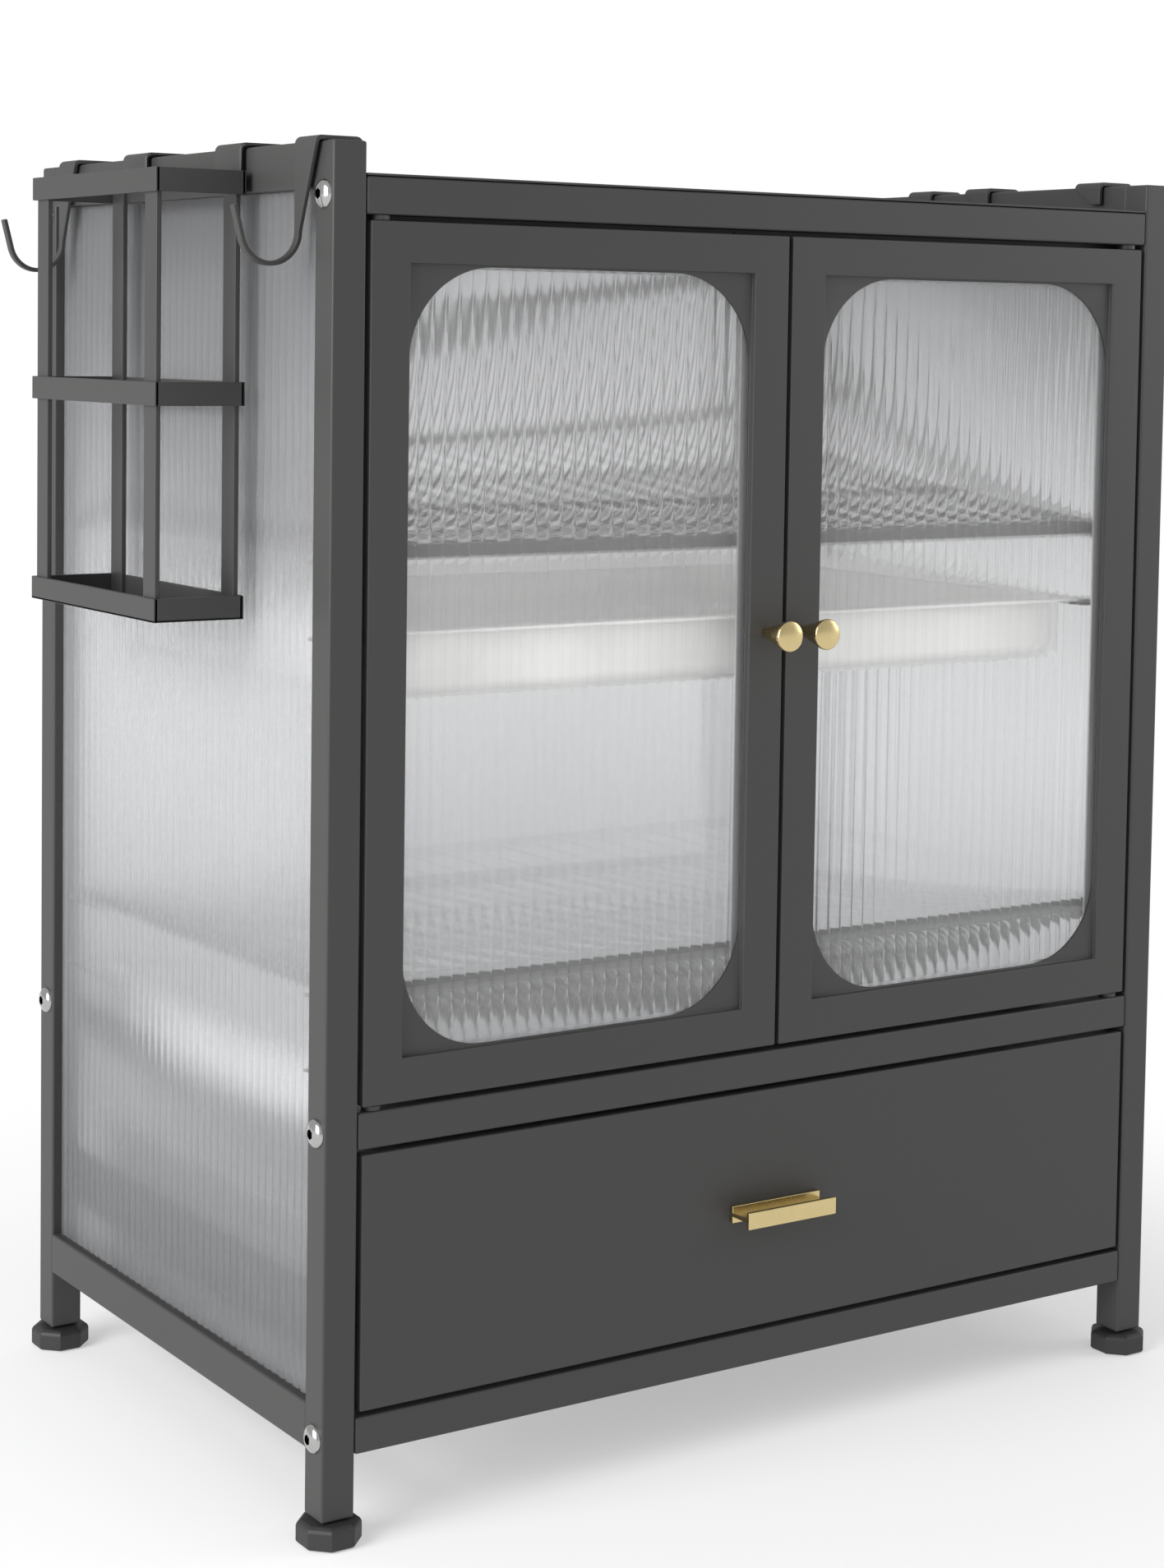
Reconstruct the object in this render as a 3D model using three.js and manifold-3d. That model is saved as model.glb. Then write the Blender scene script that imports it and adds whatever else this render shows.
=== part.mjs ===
// Countertop dish cabinet: two welded side frames joined by bolted rails, reeded panels,
// two doors with rounded windows, one drawer, two racks over drip trays, and hang-on accessories.
// Millimetres. X runs to the right, Y to the back and Z up. The doors face -Y.

import * as THREE from 'three';
import { mergeVertices } from 'three/addons/utils/BufferGeometryUtils.js';
import Module from 'manifold-3d';

const wasm = await Module();
wasm.setup();

// Overall size and the gaps that every piece shares
const cabinetWidth = 600;
const cabinetDepth = 380;
const cabinetHeight = 750;
const seatGap = 0.3;
const cutOverrun = 2;

// Square tube of the posts and cross rails, and the taller tube of the side rails
const tubeSize = 20;
const tubeWall = 1.2;
const sideRailHeight = 25;
const sideRailBottom = 50;
const postWeld = 0.6;

// Heights of the cross rails
const topRailDrop = 18;
const middleRailBottom = 214;
const bottomRailBottom = 48;

// Bolts through the posts into the rail ends
const boltHeadDiameter = 16;
const boltHeadHeight = 4;
const boltShankDiameter = 6;
const boltReach = 24;
const boltHoleGap = 0.3;
const boltSocketWidth = 5;
const boltSocketDepth = 1.8;
const railEndPlate = 2;
const railPegReach = 9;
const railPegBore = 3;

// Levelling feet
const footDiameter = 36;
const footTopDiameter = 31;
const footFlangeHeight = 13;
const footChamfer = 3;
const footNeckDiameter = 14;
const footNeckHeight = 1;
const footStemDiameter = 8;
const footStemReach = 22;
const footStemGap = 0.3;
const nutPlateThickness = 5;

// Reeded panels and panes
const panelRecess = 5;
const panelThickness = 4;
const reedPitch = 8.5;
const reedDepth = 1.2;

// Sheet of the top panel
const topSheet = 1.2;
const topLip = 10;

// Racks and drip trays
const upperRackTop = 535;
const lowerRackTop = 302;
const rackClearance = 4;
const rackBarHeight = 8;
const rackBarWidth = 3;
const rackFrontSetback = 24;
const rackBackSetback = 22;
const rackWireDiameter = 3;
const rackWirePitch = 25;
const rackStayDiameter = 4;
const trayDrop = 47;
const trayDepth = 38;
const trayWidth = 500;
const trayFrontSetback = 32;
const trayBackSetback = 40;
const trayWall = 2;
const trayCorner = 22;
const trayRimWidth = 8;
const trayRimThickness = 2;
const lugThickness = 2;
const lugDepth = 20;
const lugReach = 7;

// Doors
const doorGap = 3;
const doorDepth = 15;
const doorBorder = 24;
const doorTopBorder = 22;
const doorSheet = 1.2;
const windowStep = 3;
const windowLip = 1;
const windowRadius = 52;
const paneOverlap = 8;
const retainerSheet = 1.2;
const retainerLip = 3;
const retainerRadius = 24;
const hingeInset = 8;
const hingeDepth = 6;
const pinDiameter = 5;
const pinRoot = 7;
const pinReach = 9;
const pinRunningGap = 0.15;
const bushBodyDiameter = 8;
const bushFlangeDiameter = 11;
const bushLength = 8;

// Door knobs
const knobLength = 25;
const knobFaceDiameter = 18;
const knobBaseDiameter = 6;
const knobRise = 7;
const knobFaceThickness = 3;
const knobCrown = 1;
const knobBevel = 0.8;
const studDiameter = 4;
const studReach = 6;

// Magnetic door catch
const catchWidth = 60;
const catchHeight = 15;
const catchDepth = 15;
const catchPlateHeight = 14;
const catchPlateThickness = 4;

// Drawer
const drawerGap = 3;
const drawerFrontDepth = 15;
const drawerSheet = 1.2;
const drawerReturn = 16;
const drawerBoxLength = 328;
const drawerBoxTop = 170;
const drawerBoxBottom = 78;
const drawerHem = 6;
const runnerWidth = 13.4;
const runnerHeight = 30;
const runnerBottom = 105;
const runnerSheet = 1.2;
const runnerOverlap = 5.5;
const runnerRunningGap = 0.4;
const runnerLength = 330;
const runnerStripHeight = 36;
const runnerStripThickness = 2;

// Drawer pull, an H-section bar
const pullLength = 64;
const pullHeight = 10;
const pullProjection = 18.5;
const pullFlange = 2.5;
const pullWeb = 2.5;
const pullStudSpacing = 32;

// Knife basket that hangs on the left top rail
const basketLength = 167;
const basketSetback = 91;
const basketDepth = 54;
const basketBarHeight = 13;
const basketBarThickness = 2.5;
const basketUprightWidth = 15;
const basketUprightThickness = 3;
const basketUprightInset = 3;
const basketWeld = 0.5;
const basketTopBarDrop = 26;
const basketMiddleBarDrop = 141;
const basketBottomBarDrop = 258;
const basketFloor = 1.5;
const basketStrapWidth = 30;
const basketStrapInset = 8;

// Hang-on hooks, cut from sheet as a wide saddle that tapers to a narrow J
const hookWidth = 23;
const hookLipWidth = 8;
const hookTipWidth = 5;
const hookThickness = 2.5;
const hookSlack = 2;
const hookLip = 13;
const hookDrop = 49;
const hookRadius = 17;
const hookTip = 18;
const hookSweepShare = 0.46;

// Places of the hooks' straight edges, from the cabinet's front face or from its back face
const leftFrontHookSetback = 35;
const leftRearHookBackSetback = 35.5;
const rightFrontHookSetback = 38;
const rightMiddleHookSetback = 145.5;
const rightRearHookSetback = 204.5;
const rightEndHookBackSetback = 43.5;

// Facet counts
const boltSides = 12;
const holeSides = 8;
const pinSides = 16;
const roundSides = 20;
const wireSides = 6;
const footSides = 8;
const cornerFacets = 6;
const trayFacets = 3;
const hookFacets = 12;

// Derived levels and planes
const halfWidth = cabinetWidth / 2;
const halfDepth = cabinetDepth / 2;
const innerWidth = halfWidth - tubeSize;
const innerDepth = halfDepth - tubeSize;
const postBottom = footFlangeHeight + footNeckHeight;
const topRailTop = cabinetHeight - topRailDrop;
const topRailBottom = topRailTop - tubeSize;
const middleRailTop = middleRailBottom + tubeSize;
const bottomRailTop = bottomRailBottom + tubeSize;
const railLevels = { top: topRailBottom, middle: middleRailBottom, bottom: bottomRailBottom };
const boltHole = boltShankDiameter + 2 * boltHoleGap;
const bushHole = bushBodyDiameter + 2 * seatGap;
const panelPlane = halfWidth - panelRecess;

const finish = (color, roughness, metalness) =>
  new THREE.MeshStandardMaterial({ color, roughness, metalness });
const frameCoat = ['#4d4c4a', 0.55, 0.3];
const blackPlastic = ['#2b2b2b', 0.6, 0];
const reededSheet = ['#c9cbcc', 0.25, 0];
const trayWhite = ['#dcdcda', 0.4, 0];
const brass = ['#d2b05c', 0.3, 0.9];
const chrome = ['#c8c8c6', 0.2, 1];
const zinc = ['#a9abad', 0.4, 0.9];

const cabinet = new THREE.Group();

// A closed three.js geometry as a solid
function solid(geometry) {
  const bare = geometry.clone();
  bare.deleteAttribute('normal');
  bare.deleteAttribute('uv');
  const merged = mergeVertices(bare);
  const mesh = new wasm.Mesh({
    numProp: 3,
    vertProperties: merged.attributes.position.array,
    triVerts: new Uint32Array(merged.index.array),
  });
  return new wasm.Manifold(mesh);
}

// Names a finished solid, gives it its finish and hangs it in the cabinet
function place(name, body, coat) {
  const made = body.getMesh();
  const geometry = new THREE.BufferGeometry();
  geometry.setAttribute('position', new THREE.BufferAttribute(new Float32Array(made.vertProperties), 3));
  geometry.setIndex(new THREE.BufferAttribute(new Uint32Array(made.triVerts), 1));
  geometry.computeVertexNormals();
  const mesh = new THREE.Mesh(geometry, finish(...coat));
  mesh.name = name;
  cabinet.add(mesh);
}

// A span on one side of a middle plane, measured outwards from it
function outward(side, near, far) {
  return side < 0 ? [-far, -near] : [near, far];
}

// A span made shorter by the same length at both ends
function inset([low, high], by) {
  return [low + by, high - by];
}

// A box between two planes on each axis
function block([x0, x1], [y0, y1], [z0, z1]) {
  const box = new THREE.BoxGeometry(x1 - x0, y1 - y0, z1 - z0);
  return solid(box.translate((x0 + x1) / 2, (y0 + y1) / 2, (z0 + z1) / 2));
}

// Turns a body built along Z so that it runs along the named axis
const bases = {
  X: new THREE.Matrix4().makeBasis(
    new THREE.Vector3(0, 1, 0), new THREE.Vector3(0, 0, 1), new THREE.Vector3(1, 0, 0)),
  Y: new THREE.Matrix4().makeBasis(
    new THREE.Vector3(1, 0, 0), new THREE.Vector3(0, 0, 1), new THREE.Vector3(0, -1, 0)),
  Z: new THREE.Matrix4(),
};

// A flat shape carried along an axis: X takes (Y, Z) shapes, Y takes (X, Z) and Z takes (X, Y)
function prism(shape, axis, [from, to], curveSegments = cornerFacets) {
  const depth = to - from;
  const made = new THREE.ExtrudeGeometry(shape, { depth, bevelEnabled: false, curveSegments });
  made.applyMatrix4(bases[axis]);
  const start = axis === 'Y' ? to : from;
  return solid(made.translate(axis === 'X' ? start : 0, axis === 'Y' ? start : 0, axis === 'Z' ? start : 0));
}

// A round bar along an axis; at gives its centre on the two other axes
function rod(axis, [from, to], diameter, at, sides = roundSides) {
  const bar = new THREE.CylinderGeometry(diameter / 2, diameter / 2, to - from, sides);
  bar.rotateX(Math.PI / 2);
  bar.applyMatrix4(bases[axis]);
  const middle = (from + to) / 2;
  const [a, b] = at;
  const centre = { X: [middle, a, b], Y: [a, middle, b], Z: [a, b, middle] }[axis];
  return solid(bar.translate(...centre));
}

// A turned body about Z from (radius, height) pairs that start and end on the axis, lowest first
function turned(profile, sides) {
  const points = profile.map(([radius, height]) => new THREE.Vector2(radius, height));
  const lathe = new THREE.LatheGeometry(points, sides);
  return lathe.rotateX(Math.PI / 2);
}

// A rectangle with round corners
function roundedRectangle([a0, a1], [b0, b1], radius) {
  const shape = new THREE.Shape();
  shape.moveTo(a0 + radius, b0);
  shape.lineTo(a1 - radius, b0);
  shape.absarc(a1 - radius, b0 + radius, radius, -Math.PI / 2, 0);
  shape.lineTo(a1, b1 - radius);
  shape.absarc(a1 - radius, b1 - radius, radius, 0, Math.PI / 2);
  shape.lineTo(a0 + radius, b1);
  shape.absarc(a0 + radius, b1 - radius, radius, Math.PI / 2, Math.PI);
  shape.lineTo(a0, b0 + radius);
  shape.absarc(a0 + radius, b0 + radius, radius, Math.PI, Math.PI * 3 / 2);
  return shape;
}

// The outline of a strip of even thickness that is bent along a line of points
function bentStrip(line, thickness) {
  const sides = [[], []];
  line.forEach((point, i) => {
    const before = line[Math.max(i - 1, 0)];
    const after = line[Math.min(i + 1, line.length - 1)];
    const into = i > 0 ? point.clone().sub(before).normalize() : after.clone().sub(point).normalize();
    const out = i < line.length - 1 ? after.clone().sub(point).normalize() : into.clone();
    const mitre = new THREE.Vector2(-into.y - out.y, into.x + out.x);
    mitre.multiplyScalar(thickness / 2 / (1 + into.dot(out)));
    sides[0].push(point.clone().add(mitre));
    sides[1].unshift(point.clone().sub(mitre));
  });
  return new THREE.Shape([...sides[0], ...sides[1]]);
}

// The plan outline of a reeded sheet: flat on one face, with half-round reeds on the other
function reededOutline([a0, a1], flat, outwardSign) {
  const count = Math.round((a1 - a0) / reedPitch);
  const pitch = (a1 - a0) / count;
  const valley = flat + outwardSign * (panelThickness - reedDepth);
  const crestShares = [0, 0.9, 0.9];
  const points = [new THREE.Vector2(a0, flat)];
  for (let reed = 0; reed < count; reed += 1) {
    crestShares.forEach((share, step) => {
      const along = a0 + pitch * (reed + step / crestShares.length);
      points.push(new THREE.Vector2(along, valley + outwardSign * reedDepth * share));
    });
  }
  points.push(new THREE.Vector2(a1, valley), new THREE.Vector2(a1, flat));
  return new THREE.Shape(points);
}

// Welded side frame: two posts, a top and a bottom rail, support lugs and the runner strip
function sideFrame(side) {
  const across = outward(side, innerWidth, halfWidth);
  const hollowAcross = outward(side, innerWidth + tubeWall, halfWidth - tubeWall);
  const railSpans = [
    [cabinetHeight - sideRailHeight, cabinetHeight],
    [sideRailBottom, sideRailBottom + sideRailHeight],
  ];
  const hollow = ([low, high]) => [low + tubeWall, high - tubeWall];
  let frame;
  let inside;
  for (const end of [-1, 1]) {
    const post = block(across, outward(end, innerDepth, halfDepth), [postBottom, cabinetHeight]);
    const cavity = block(hollowAcross, outward(end, innerDepth + tubeWall, halfDepth - tubeWall),
      [postBottom + nutPlateThickness, cabinetHeight - tubeWall]);
    frame = frame ? frame.add(post) : post;
    inside = inside ? inside.add(cavity) : cavity;
  }
  for (const span of railSpans) {
    frame = frame.add(block(across, [-innerDepth - postWeld, innerDepth + postWeld], span));
    inside = inside.add(block(hollowAcross, inset([-innerDepth, innerDepth], -cutOverrun), hollow(span)));
  }
  frame = frame.subtract(inside);
  for (const end of [-1, 1]) {
    const postY = end * (halfDepth - tubeSize / 2);
    const foot = rod('Z', [postBottom - cutOverrun, postBottom + nutPlateThickness + cutOverrun],
      footStemDiameter + 2 * footStemGap, [side * (halfWidth - tubeSize / 2), postY], pinSides);
    frame = frame.subtract(foot);
    for (const [level, low] of Object.entries(railLevels)) {
      const farWall = isPegged(end, level) ? innerWidth + tubeWall : halfWidth;
      const hole = rod('X', outward(side, innerWidth - cutOverrun, farWall + cutOverrun), boltHole,
        [postY, low + tubeSize / 2], holeSides);
      frame = frame.subtract(hole);
    }
    frame = supportLugs(side, end).reduce((whole, lug) => whole.add(lug), frame);
  }
  const stripTop = runnerBottom + (runnerHeight + runnerStripHeight) / 2;
  const strip = block(outward(side, innerWidth, innerWidth + runnerStripThickness),
    [-innerDepth - postWeld, innerDepth + postWeld], [stripTop - runnerStripHeight, stripTop]);
  return frame.add(strip);
}

// Four lugs at one post: two carry the racks and two, which reach further in, carry the trays
function supportLugs(side, end) {
  const lugs = [];
  for (const rackTop of [upperRackTop, lowerRackTop]) {
    const seats = [
      [rackTop - rackBarHeight, innerWidth - rackClearance],
      [rackTop - trayDrop - trayRimThickness, trayWidth / 2 + trayRimWidth],
    ];
    for (const [carried, edge] of seats) {
      const top = carried - seatGap;
      lugs.push(block(outward(side, edge - lugReach, halfWidth - tubeSize / 2),
        outward(end, innerDepth - lugDepth, innerDepth + postWeld), [top - lugThickness, top]));
    }
  }
  return lugs;
}

// The rear bottom rail plugs into the posts with a peg at each end; all the others are bolted
function isPegged(end, level) {
  return end > 0 && level === 'bottom';
}

// Cross rail between the side frames: a square tube with a plate in each end, drilled for a bolt
// or fitted with a tube-shaped peg
function crossRail(end, level) {
  const low = railLevels[level];
  const length = innerWidth - seatGap;
  const y = outward(end, innerDepth, halfDepth);
  const hollowY = outward(end, innerDepth + tubeWall, halfDepth - tubeWall);
  const centre = [end * (halfDepth - tubeSize / 2), low + tubeSize / 2];
  let tube = block([-length, length], y, [low, low + tubeSize]);
  if (isPegged(end, level)) {
    tube = tube.add(rod('X', [-length - railPegReach, length + railPegReach], boltShankDiameter, centre,
      holeSides));
  }
  const hollow = block([railEndPlate - length, length - railEndPlate], hollowY,
    [low + tubeWall, low + tubeSize - tubeWall]);
  const reach = length + railPegReach + cutOverrun;
  const bore = isPegged(end, level) ? railPegBore : boltHole;
  return tube.subtract(hollow).subtract(rod('X', [-reach, reach], bore, centre, holeSides));
}

// The hinge line of a door, on plan
function hingeLine(side) {
  return [side * (innerWidth - doorGap - hingeInset), hingeDepth - halfDepth];
}

// Drills the two bush holes in the face of a front rail that a door pin enters
function drillForBushes(rail, face) {
  let drilled = rail;
  for (const side of [-1, 1]) {
    const reach = tubeWall + cutOverrun;
    drilled = drilled.subtract(rod('Z', [face - reach, face + reach], bushHole, hingeLine(side), pinSides));
  }
  return drilled;
}

function buildFrame() {
  place('left_side_frame', sideFrame(-1), frameCoat);
  place('right_side_frame', sideFrame(1), frameCoat);
  for (const level of Object.keys(railLevels)) {
    let front = crossRail(-1, level);
    if (level === 'top') front = drillForBushes(front, topRailBottom);
    if (level === 'middle') front = drillForBushes(front, middleRailTop);
    place(`front_${level}_rail`, front, frameCoat);
    place(`rear_${level}_rail`, crossRail(1, level), frameCoat);
  }
}

// Dome-headed bolt with a six-sided socket, head outermost
function bolt(side, end, low) {
  const radius = boltHeadDiameter / 2;
  const crownShares = [[1, 0], [1, 0.35], [0.72, 0.85], [0, 1]];
  const crown = crownShares.map(([r, h]) => [radius * r, boltHeadHeight * h]);
  const head = turned([[0, 0], ...crown], boltSides);
  const centre = [end * (halfDepth - tubeSize / 2), low + tubeSize / 2];
  const seat = halfWidth + seatGap;
  head.rotateY(side * Math.PI / 2).translate(side * seat, ...centre);
  const shank = rod('X', outward(side, seat - boltReach, seat + boltHeadHeight / 4), boltShankDiameter,
    centre, holeSides);
  const top = seat + boltHeadHeight;
  const socket = rod('X', outward(side, top - boltSocketDepth, top + cutOverrun), boltSocketWidth, centre,
    wireSides);
  return solid(head).add(shank).subtract(socket);
}

function buildBolts() {
  for (const [sideName, side] of [['left', -1], ['right', 1]]) {
    for (const [endName, end] of [['front', -1], ['rear', 1]]) {
      for (const [level, low] of Object.entries(railLevels)) {
        if (isPegged(end, level)) continue;
        place(`bolt_${sideName}_${endName}_${level}`, bolt(side, end, low), chrome);
      }
    }
  }
}

// Levelling foot: eight-sided flange, neck and a stem that screws into the post's nut plate
function foot(side, end) {
  const radius = footDiameter / 2;
  const topRadius = footTopDiameter / 2;
  const neck = footNeckDiameter / 2;
  const bevel = radius - topRadius;
  const flange = turned([
    [0, 0], [radius - bevel / 2, 0], [radius, bevel / 2], [radius, footFlangeHeight - footChamfer],
    [topRadius, footFlangeHeight], [neck, footFlangeHeight],
    [neck, footFlangeHeight + footNeckHeight - seatGap], [0, footFlangeHeight + footNeckHeight - seatGap],
  ], footSides);
  const at = [side * (halfWidth - tubeSize / 2), end * (halfDepth - tubeSize / 2)];
  flange.rotateZ(Math.PI / footSides).translate(...at, 0);
  const stem = rod('Z', [footFlangeHeight - footChamfer, postBottom + footStemReach], footStemDiameter, at,
    holeSides);
  return solid(flange).add(stem);
}

function buildFeet() {
  for (const [endName, end] of [['front', -1], ['rear', 1]]) {
    place(`foot_${endName}_left`, foot(-1, end), blackPlastic);
    place(`foot_${endName}_right`, foot(1, end), blackPlastic);
  }
}

// Reeded sheets held between the tubes, and the folded top panel
function buildPanels() {
  const betweenPosts = [seatGap - innerDepth, innerDepth - seatGap];
  const sideHeights = [sideRailBottom + sideRailHeight + seatGap, cabinetHeight - sideRailHeight - seatGap];
  for (const [name, side] of [['left', -1], ['right', 1]]) {
    const flat = side * (panelPlane - panelThickness);
    const plan = reededOutline(betweenPosts, flat, side);
    const turnedPlan = new THREE.Shape(plan.getPoints().map((p) => new THREE.Vector2(p.y, p.x)));
    place(`${name}_side_panel`, prism(turnedPlan, 'Z', sideHeights), reededSheet);
  }
  const betweenSides = [seatGap - innerWidth, innerWidth - seatGap];
  const backPlan = reededOutline(betweenSides, halfDepth - panelRecess - panelThickness, 1);
  const backSpans = {
    upper: [middleRailTop + seatGap, topRailBottom - seatGap],
    lower: [bottomRailTop + seatGap, middleRailBottom - seatGap],
  };
  for (const [name, span] of Object.entries(backSpans)) {
    place(`${name}_back_panel`, prism(backPlan, 'Z', span), reededSheet);
  }
  const top = [topRailTop + seatGap, topRailTop + seatGap + topSheet];
  let sheet = block(betweenSides, [-halfDepth, halfDepth], top);
  for (const side of [-1, 1]) {
    const edge = innerWidth - seatGap;
    sheet = sheet.add(block(outward(side, edge - topSheet, edge), betweenPosts, [top[0] - topLip, top[1]]));
  }
  place('top_panel', sheet, frameCoat);
}

// Wire rack: a rim of flat bar, wires from front to back and two stays under them
function rack(top) {
  const half = innerWidth - rackClearance;
  const y = [rackFrontSetback - halfDepth, halfDepth - rackBackSetback];
  const z = [top - rackBarHeight, top];
  const inner = half - rackBarWidth;
  let body = block([-half, half], y, z).subtract(block([-inner, inner],
    [y[0] + rackBarWidth, y[1] - rackBarWidth], [z[0] - cutOverrun, z[1] + cutOverrun]));
  const wireLevel = top - rackWireDiameter;
  const stayLevel = wireLevel - rackStayDiameter / 2 - rackWireDiameter / 4;
  const run = [y[0] + rackBarWidth / 2, y[1] - rackBarWidth / 2];
  const count = Math.round(2 * inner / rackWirePitch);
  for (let i = 1; i < count; i += 1) {
    body = body.add(rod('Y', run, rackWireDiameter, [-inner + 2 * inner * i / count, wireLevel], wireSides));
  }
  const stayShares = [0.3, 0.7];
  for (const share of stayShares) {
    const stayY = y[0] + (y[1] - y[0]) * share;
    body = body.add(rod('X', [-inner - rackBarWidth / 2, inner + rackBarWidth / 2], rackStayDiameter,
      [stayY, stayLevel], wireSides));
  }
  return body;
}

// Drip tray: a shallow dish with round corners and a flat rim
function tray(top) {
  const half = trayWidth / 2;
  const y = [trayFrontSetback - halfDepth, halfDepth - trayBackSetback];
  const outline = (by, radius) => roundedRectangle([-half - by, half + by], [y[0] - by, y[1] + by], radius);
  const dish = prism(outline(0, trayCorner), 'Z', [top - trayDepth, top], trayFacets);
  const rim = prism(outline(trayRimWidth, trayRimWidth), 'Z', [top - trayRimThickness, top], trayFacets);
  const hollow = prism(outline(-trayWall, trayCorner - trayWall), 'Z',
    [top - trayDepth + trayWall, top + cutOverrun], trayFacets);
  return dish.add(rim).subtract(hollow);
}

function buildRacks() {
  for (const [name, top] of [['upper', upperRackTop], ['lower', lowerRackTop]]) {
    place(`${name}_rack`, rack(top), frameCoat);
    place(`${name}_drip_tray`, tray(top - trayDrop), trayWhite);
  }
}

// The heights of a door inside its borders
function withinBorders([low, high]) {
  return [low + doorBorder, high - doorTopBorder];
}

// Where a knob is fixed: in the middle of the meeting stile, a little above half height
function knobPlace([low, high], side) {
  return [side * (doorGap + doorBorder) / 2, (low + high) / 2 + knobRise];
}

// Folded door leaf with a stepped face, a rounded window and a hinge pin at the top and bottom
function doorLeaf(span, z, side) {
  const front = -halfDepth;
  const back = front + doorDepth;
  const opening = [inset(span, doorBorder), withinBorders(z)];
  let leaf = block(span, [front, back], z);
  leaf = leaf.subtract(block(inset(span, doorSheet), [front + doorSheet, back + cutOverrun],
    inset(z, doorSheet)));
  leaf = leaf.add(block(inset(opening[0], -doorSheet), [front, front + windowStep + doorSheet],
    inset(opening[1], -doorSheet)));
  leaf = leaf.subtract(block(opening[0], [front - cutOverrun, front + windowStep], opening[1]));
  const pane = roundedRectangle(inset(opening[0], windowLip), inset(opening[1], windowLip), windowRadius);
  leaf = leaf.subtract(prism(pane, 'Y', [front - cutOverrun, back]));
  const pins = [[z[0] - pinReach, z[0] + pinRoot], [z[1] - pinRoot, z[1] + pinReach]];
  for (const pin of pins) leaf = leaf.add(rod('Z', pin, pinDiameter, hingeLine(side), pinSides));
  return leaf.subtract(rod('Y', [front - cutOverrun, front + doorSheet + cutOverrun / 2],
    studDiameter + 2 * seatGap, knobPlace(z, side), holeSides));
}

// Brass knob that widens from its base to a slightly domed face
function knob(at) {
  const profile = [
    [0, -studReach], [studDiameter / 2, -studReach], [studDiameter / 2, seatGap],
    [knobBaseDiameter / 2, seatGap], [knobFaceDiameter / 2, knobLength - knobFaceThickness],
    [knobFaceDiameter / 2, knobLength - knobCrown - knobBevel],
    [knobFaceDiameter / 2 - knobBevel, knobLength - knobCrown], [0, knobLength],
  ];
  const [x, z] = at;
  return solid(turned(profile, roundSides).rotateX(Math.PI / 2).translate(x, -halfDepth, z));
}

// Bush in a rail: a flange in the door gap and a body through the rail's wall, round the pin
function bush(side, face, up) {
  const at = hingeLine(side);
  const span = (from, to) => [face + up * from, face + up * to].sort((a, b) => a - b);
  const bore = rod('Z', span(-doorGap - cutOverrun, bushLength + cutOverrun),
    pinDiameter + 2 * pinRunningGap, at, pinSides);
  return rod('Z', span(seatGap - doorGap, -seatGap), bushFlangeDiameter, at, pinSides)
    .add(rod('Z', span(-doorGap / 2, bushLength), bushBodyDiameter, at, pinSides))
    .subtract(bore);
}

function buildDoors() {
  const z = [middleRailTop + doorGap, topRailBottom - doorGap];
  const front = -halfDepth;
  for (const [name, side] of [['left', -1], ['right', 1]]) {
    const span = outward(side, doorGap / 2, innerWidth - doorGap);
    place(`${name}_door_leaf`, doorLeaf(span, z, side), frameCoat);
    const cover = doorBorder - paneOverlap;
    const plateBack = front + windowStep + doorSheet;
    const paneBack = plateBack + seatGap + panelThickness;
    const plan = reededOutline(inset(span, cover), paneBack, -1);
    place(`${name}_door_pane`, prism(plan, 'Z', inset(z, cover)), reededSheet);
    const ringY = [paneBack + seatGap, paneBack + seatGap + retainerSheet];
    const edge = doorSheet + seatGap;
    const ring = block(inset(span, edge), ringY, inset(z, edge));
    const light = roundedRectangle(inset(span, doorBorder + retainerLip),
      inset(withinBorders(z), retainerLip), retainerRadius);
    place(`${name}_pane_retainer`, ring.subtract(prism(light, 'Y',
      [ringY[0] - cutOverrun, ringY[1] + cutOverrun])), zinc);
    place(`${name}_door_knob`, knob(knobPlace(z, side)), brass);
    place(`${name}_door_top_bush`, bush(side, topRailBottom, 1), blackPlastic);
    place(`${name}_door_bottom_bush`, bush(side, middleRailTop, -1), blackPlastic);
  }
  const catchFront = front + doorDepth + seatGap;
  const half = catchWidth / 2;
  const body = block([-half, half], [catchFront, catchFront + catchDepth],
    [topRailBottom - seatGap - catchHeight, topRailBottom - seatGap]);
  const railBack = front + tubeSize + seatGap;
  const plate = block([-half, half], [railBack, railBack + catchPlateThickness],
    [topRailBottom - catchHeight, topRailBottom + catchPlateHeight]);
  place('door_catch', body.add(plate), blackPlastic);
}

// Drawer front: a folded pan whose returns sit on the box, with two holes for the pull's studs
function drawerFront(x, z) {
  const y = [-halfDepth, drawerFrontDepth - halfDepth];
  const hollow = block(inset(x, drawerSheet), inset(y, drawerSheet), inset(z, drawerSheet));
  let pan = block(x, y, z).subtract(hollow);
  pan = pan.subtract(block(inset(x, drawerReturn), [y[1] - drawerSheet - cutOverrun, y[1] + cutOverrun],
    inset(z, drawerReturn)));
  for (const side of [-1, 1]) {
    pan = pan.subtract(rod('Y', [y[0] - cutOverrun, y[0] + drawerSheet + cutOverrun],
      studDiameter + 2 * seatGap, [side * pullStudSpacing / 2, (z[0] + z[1]) / 2], holeSides));
  }
  return pan;
}

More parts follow.
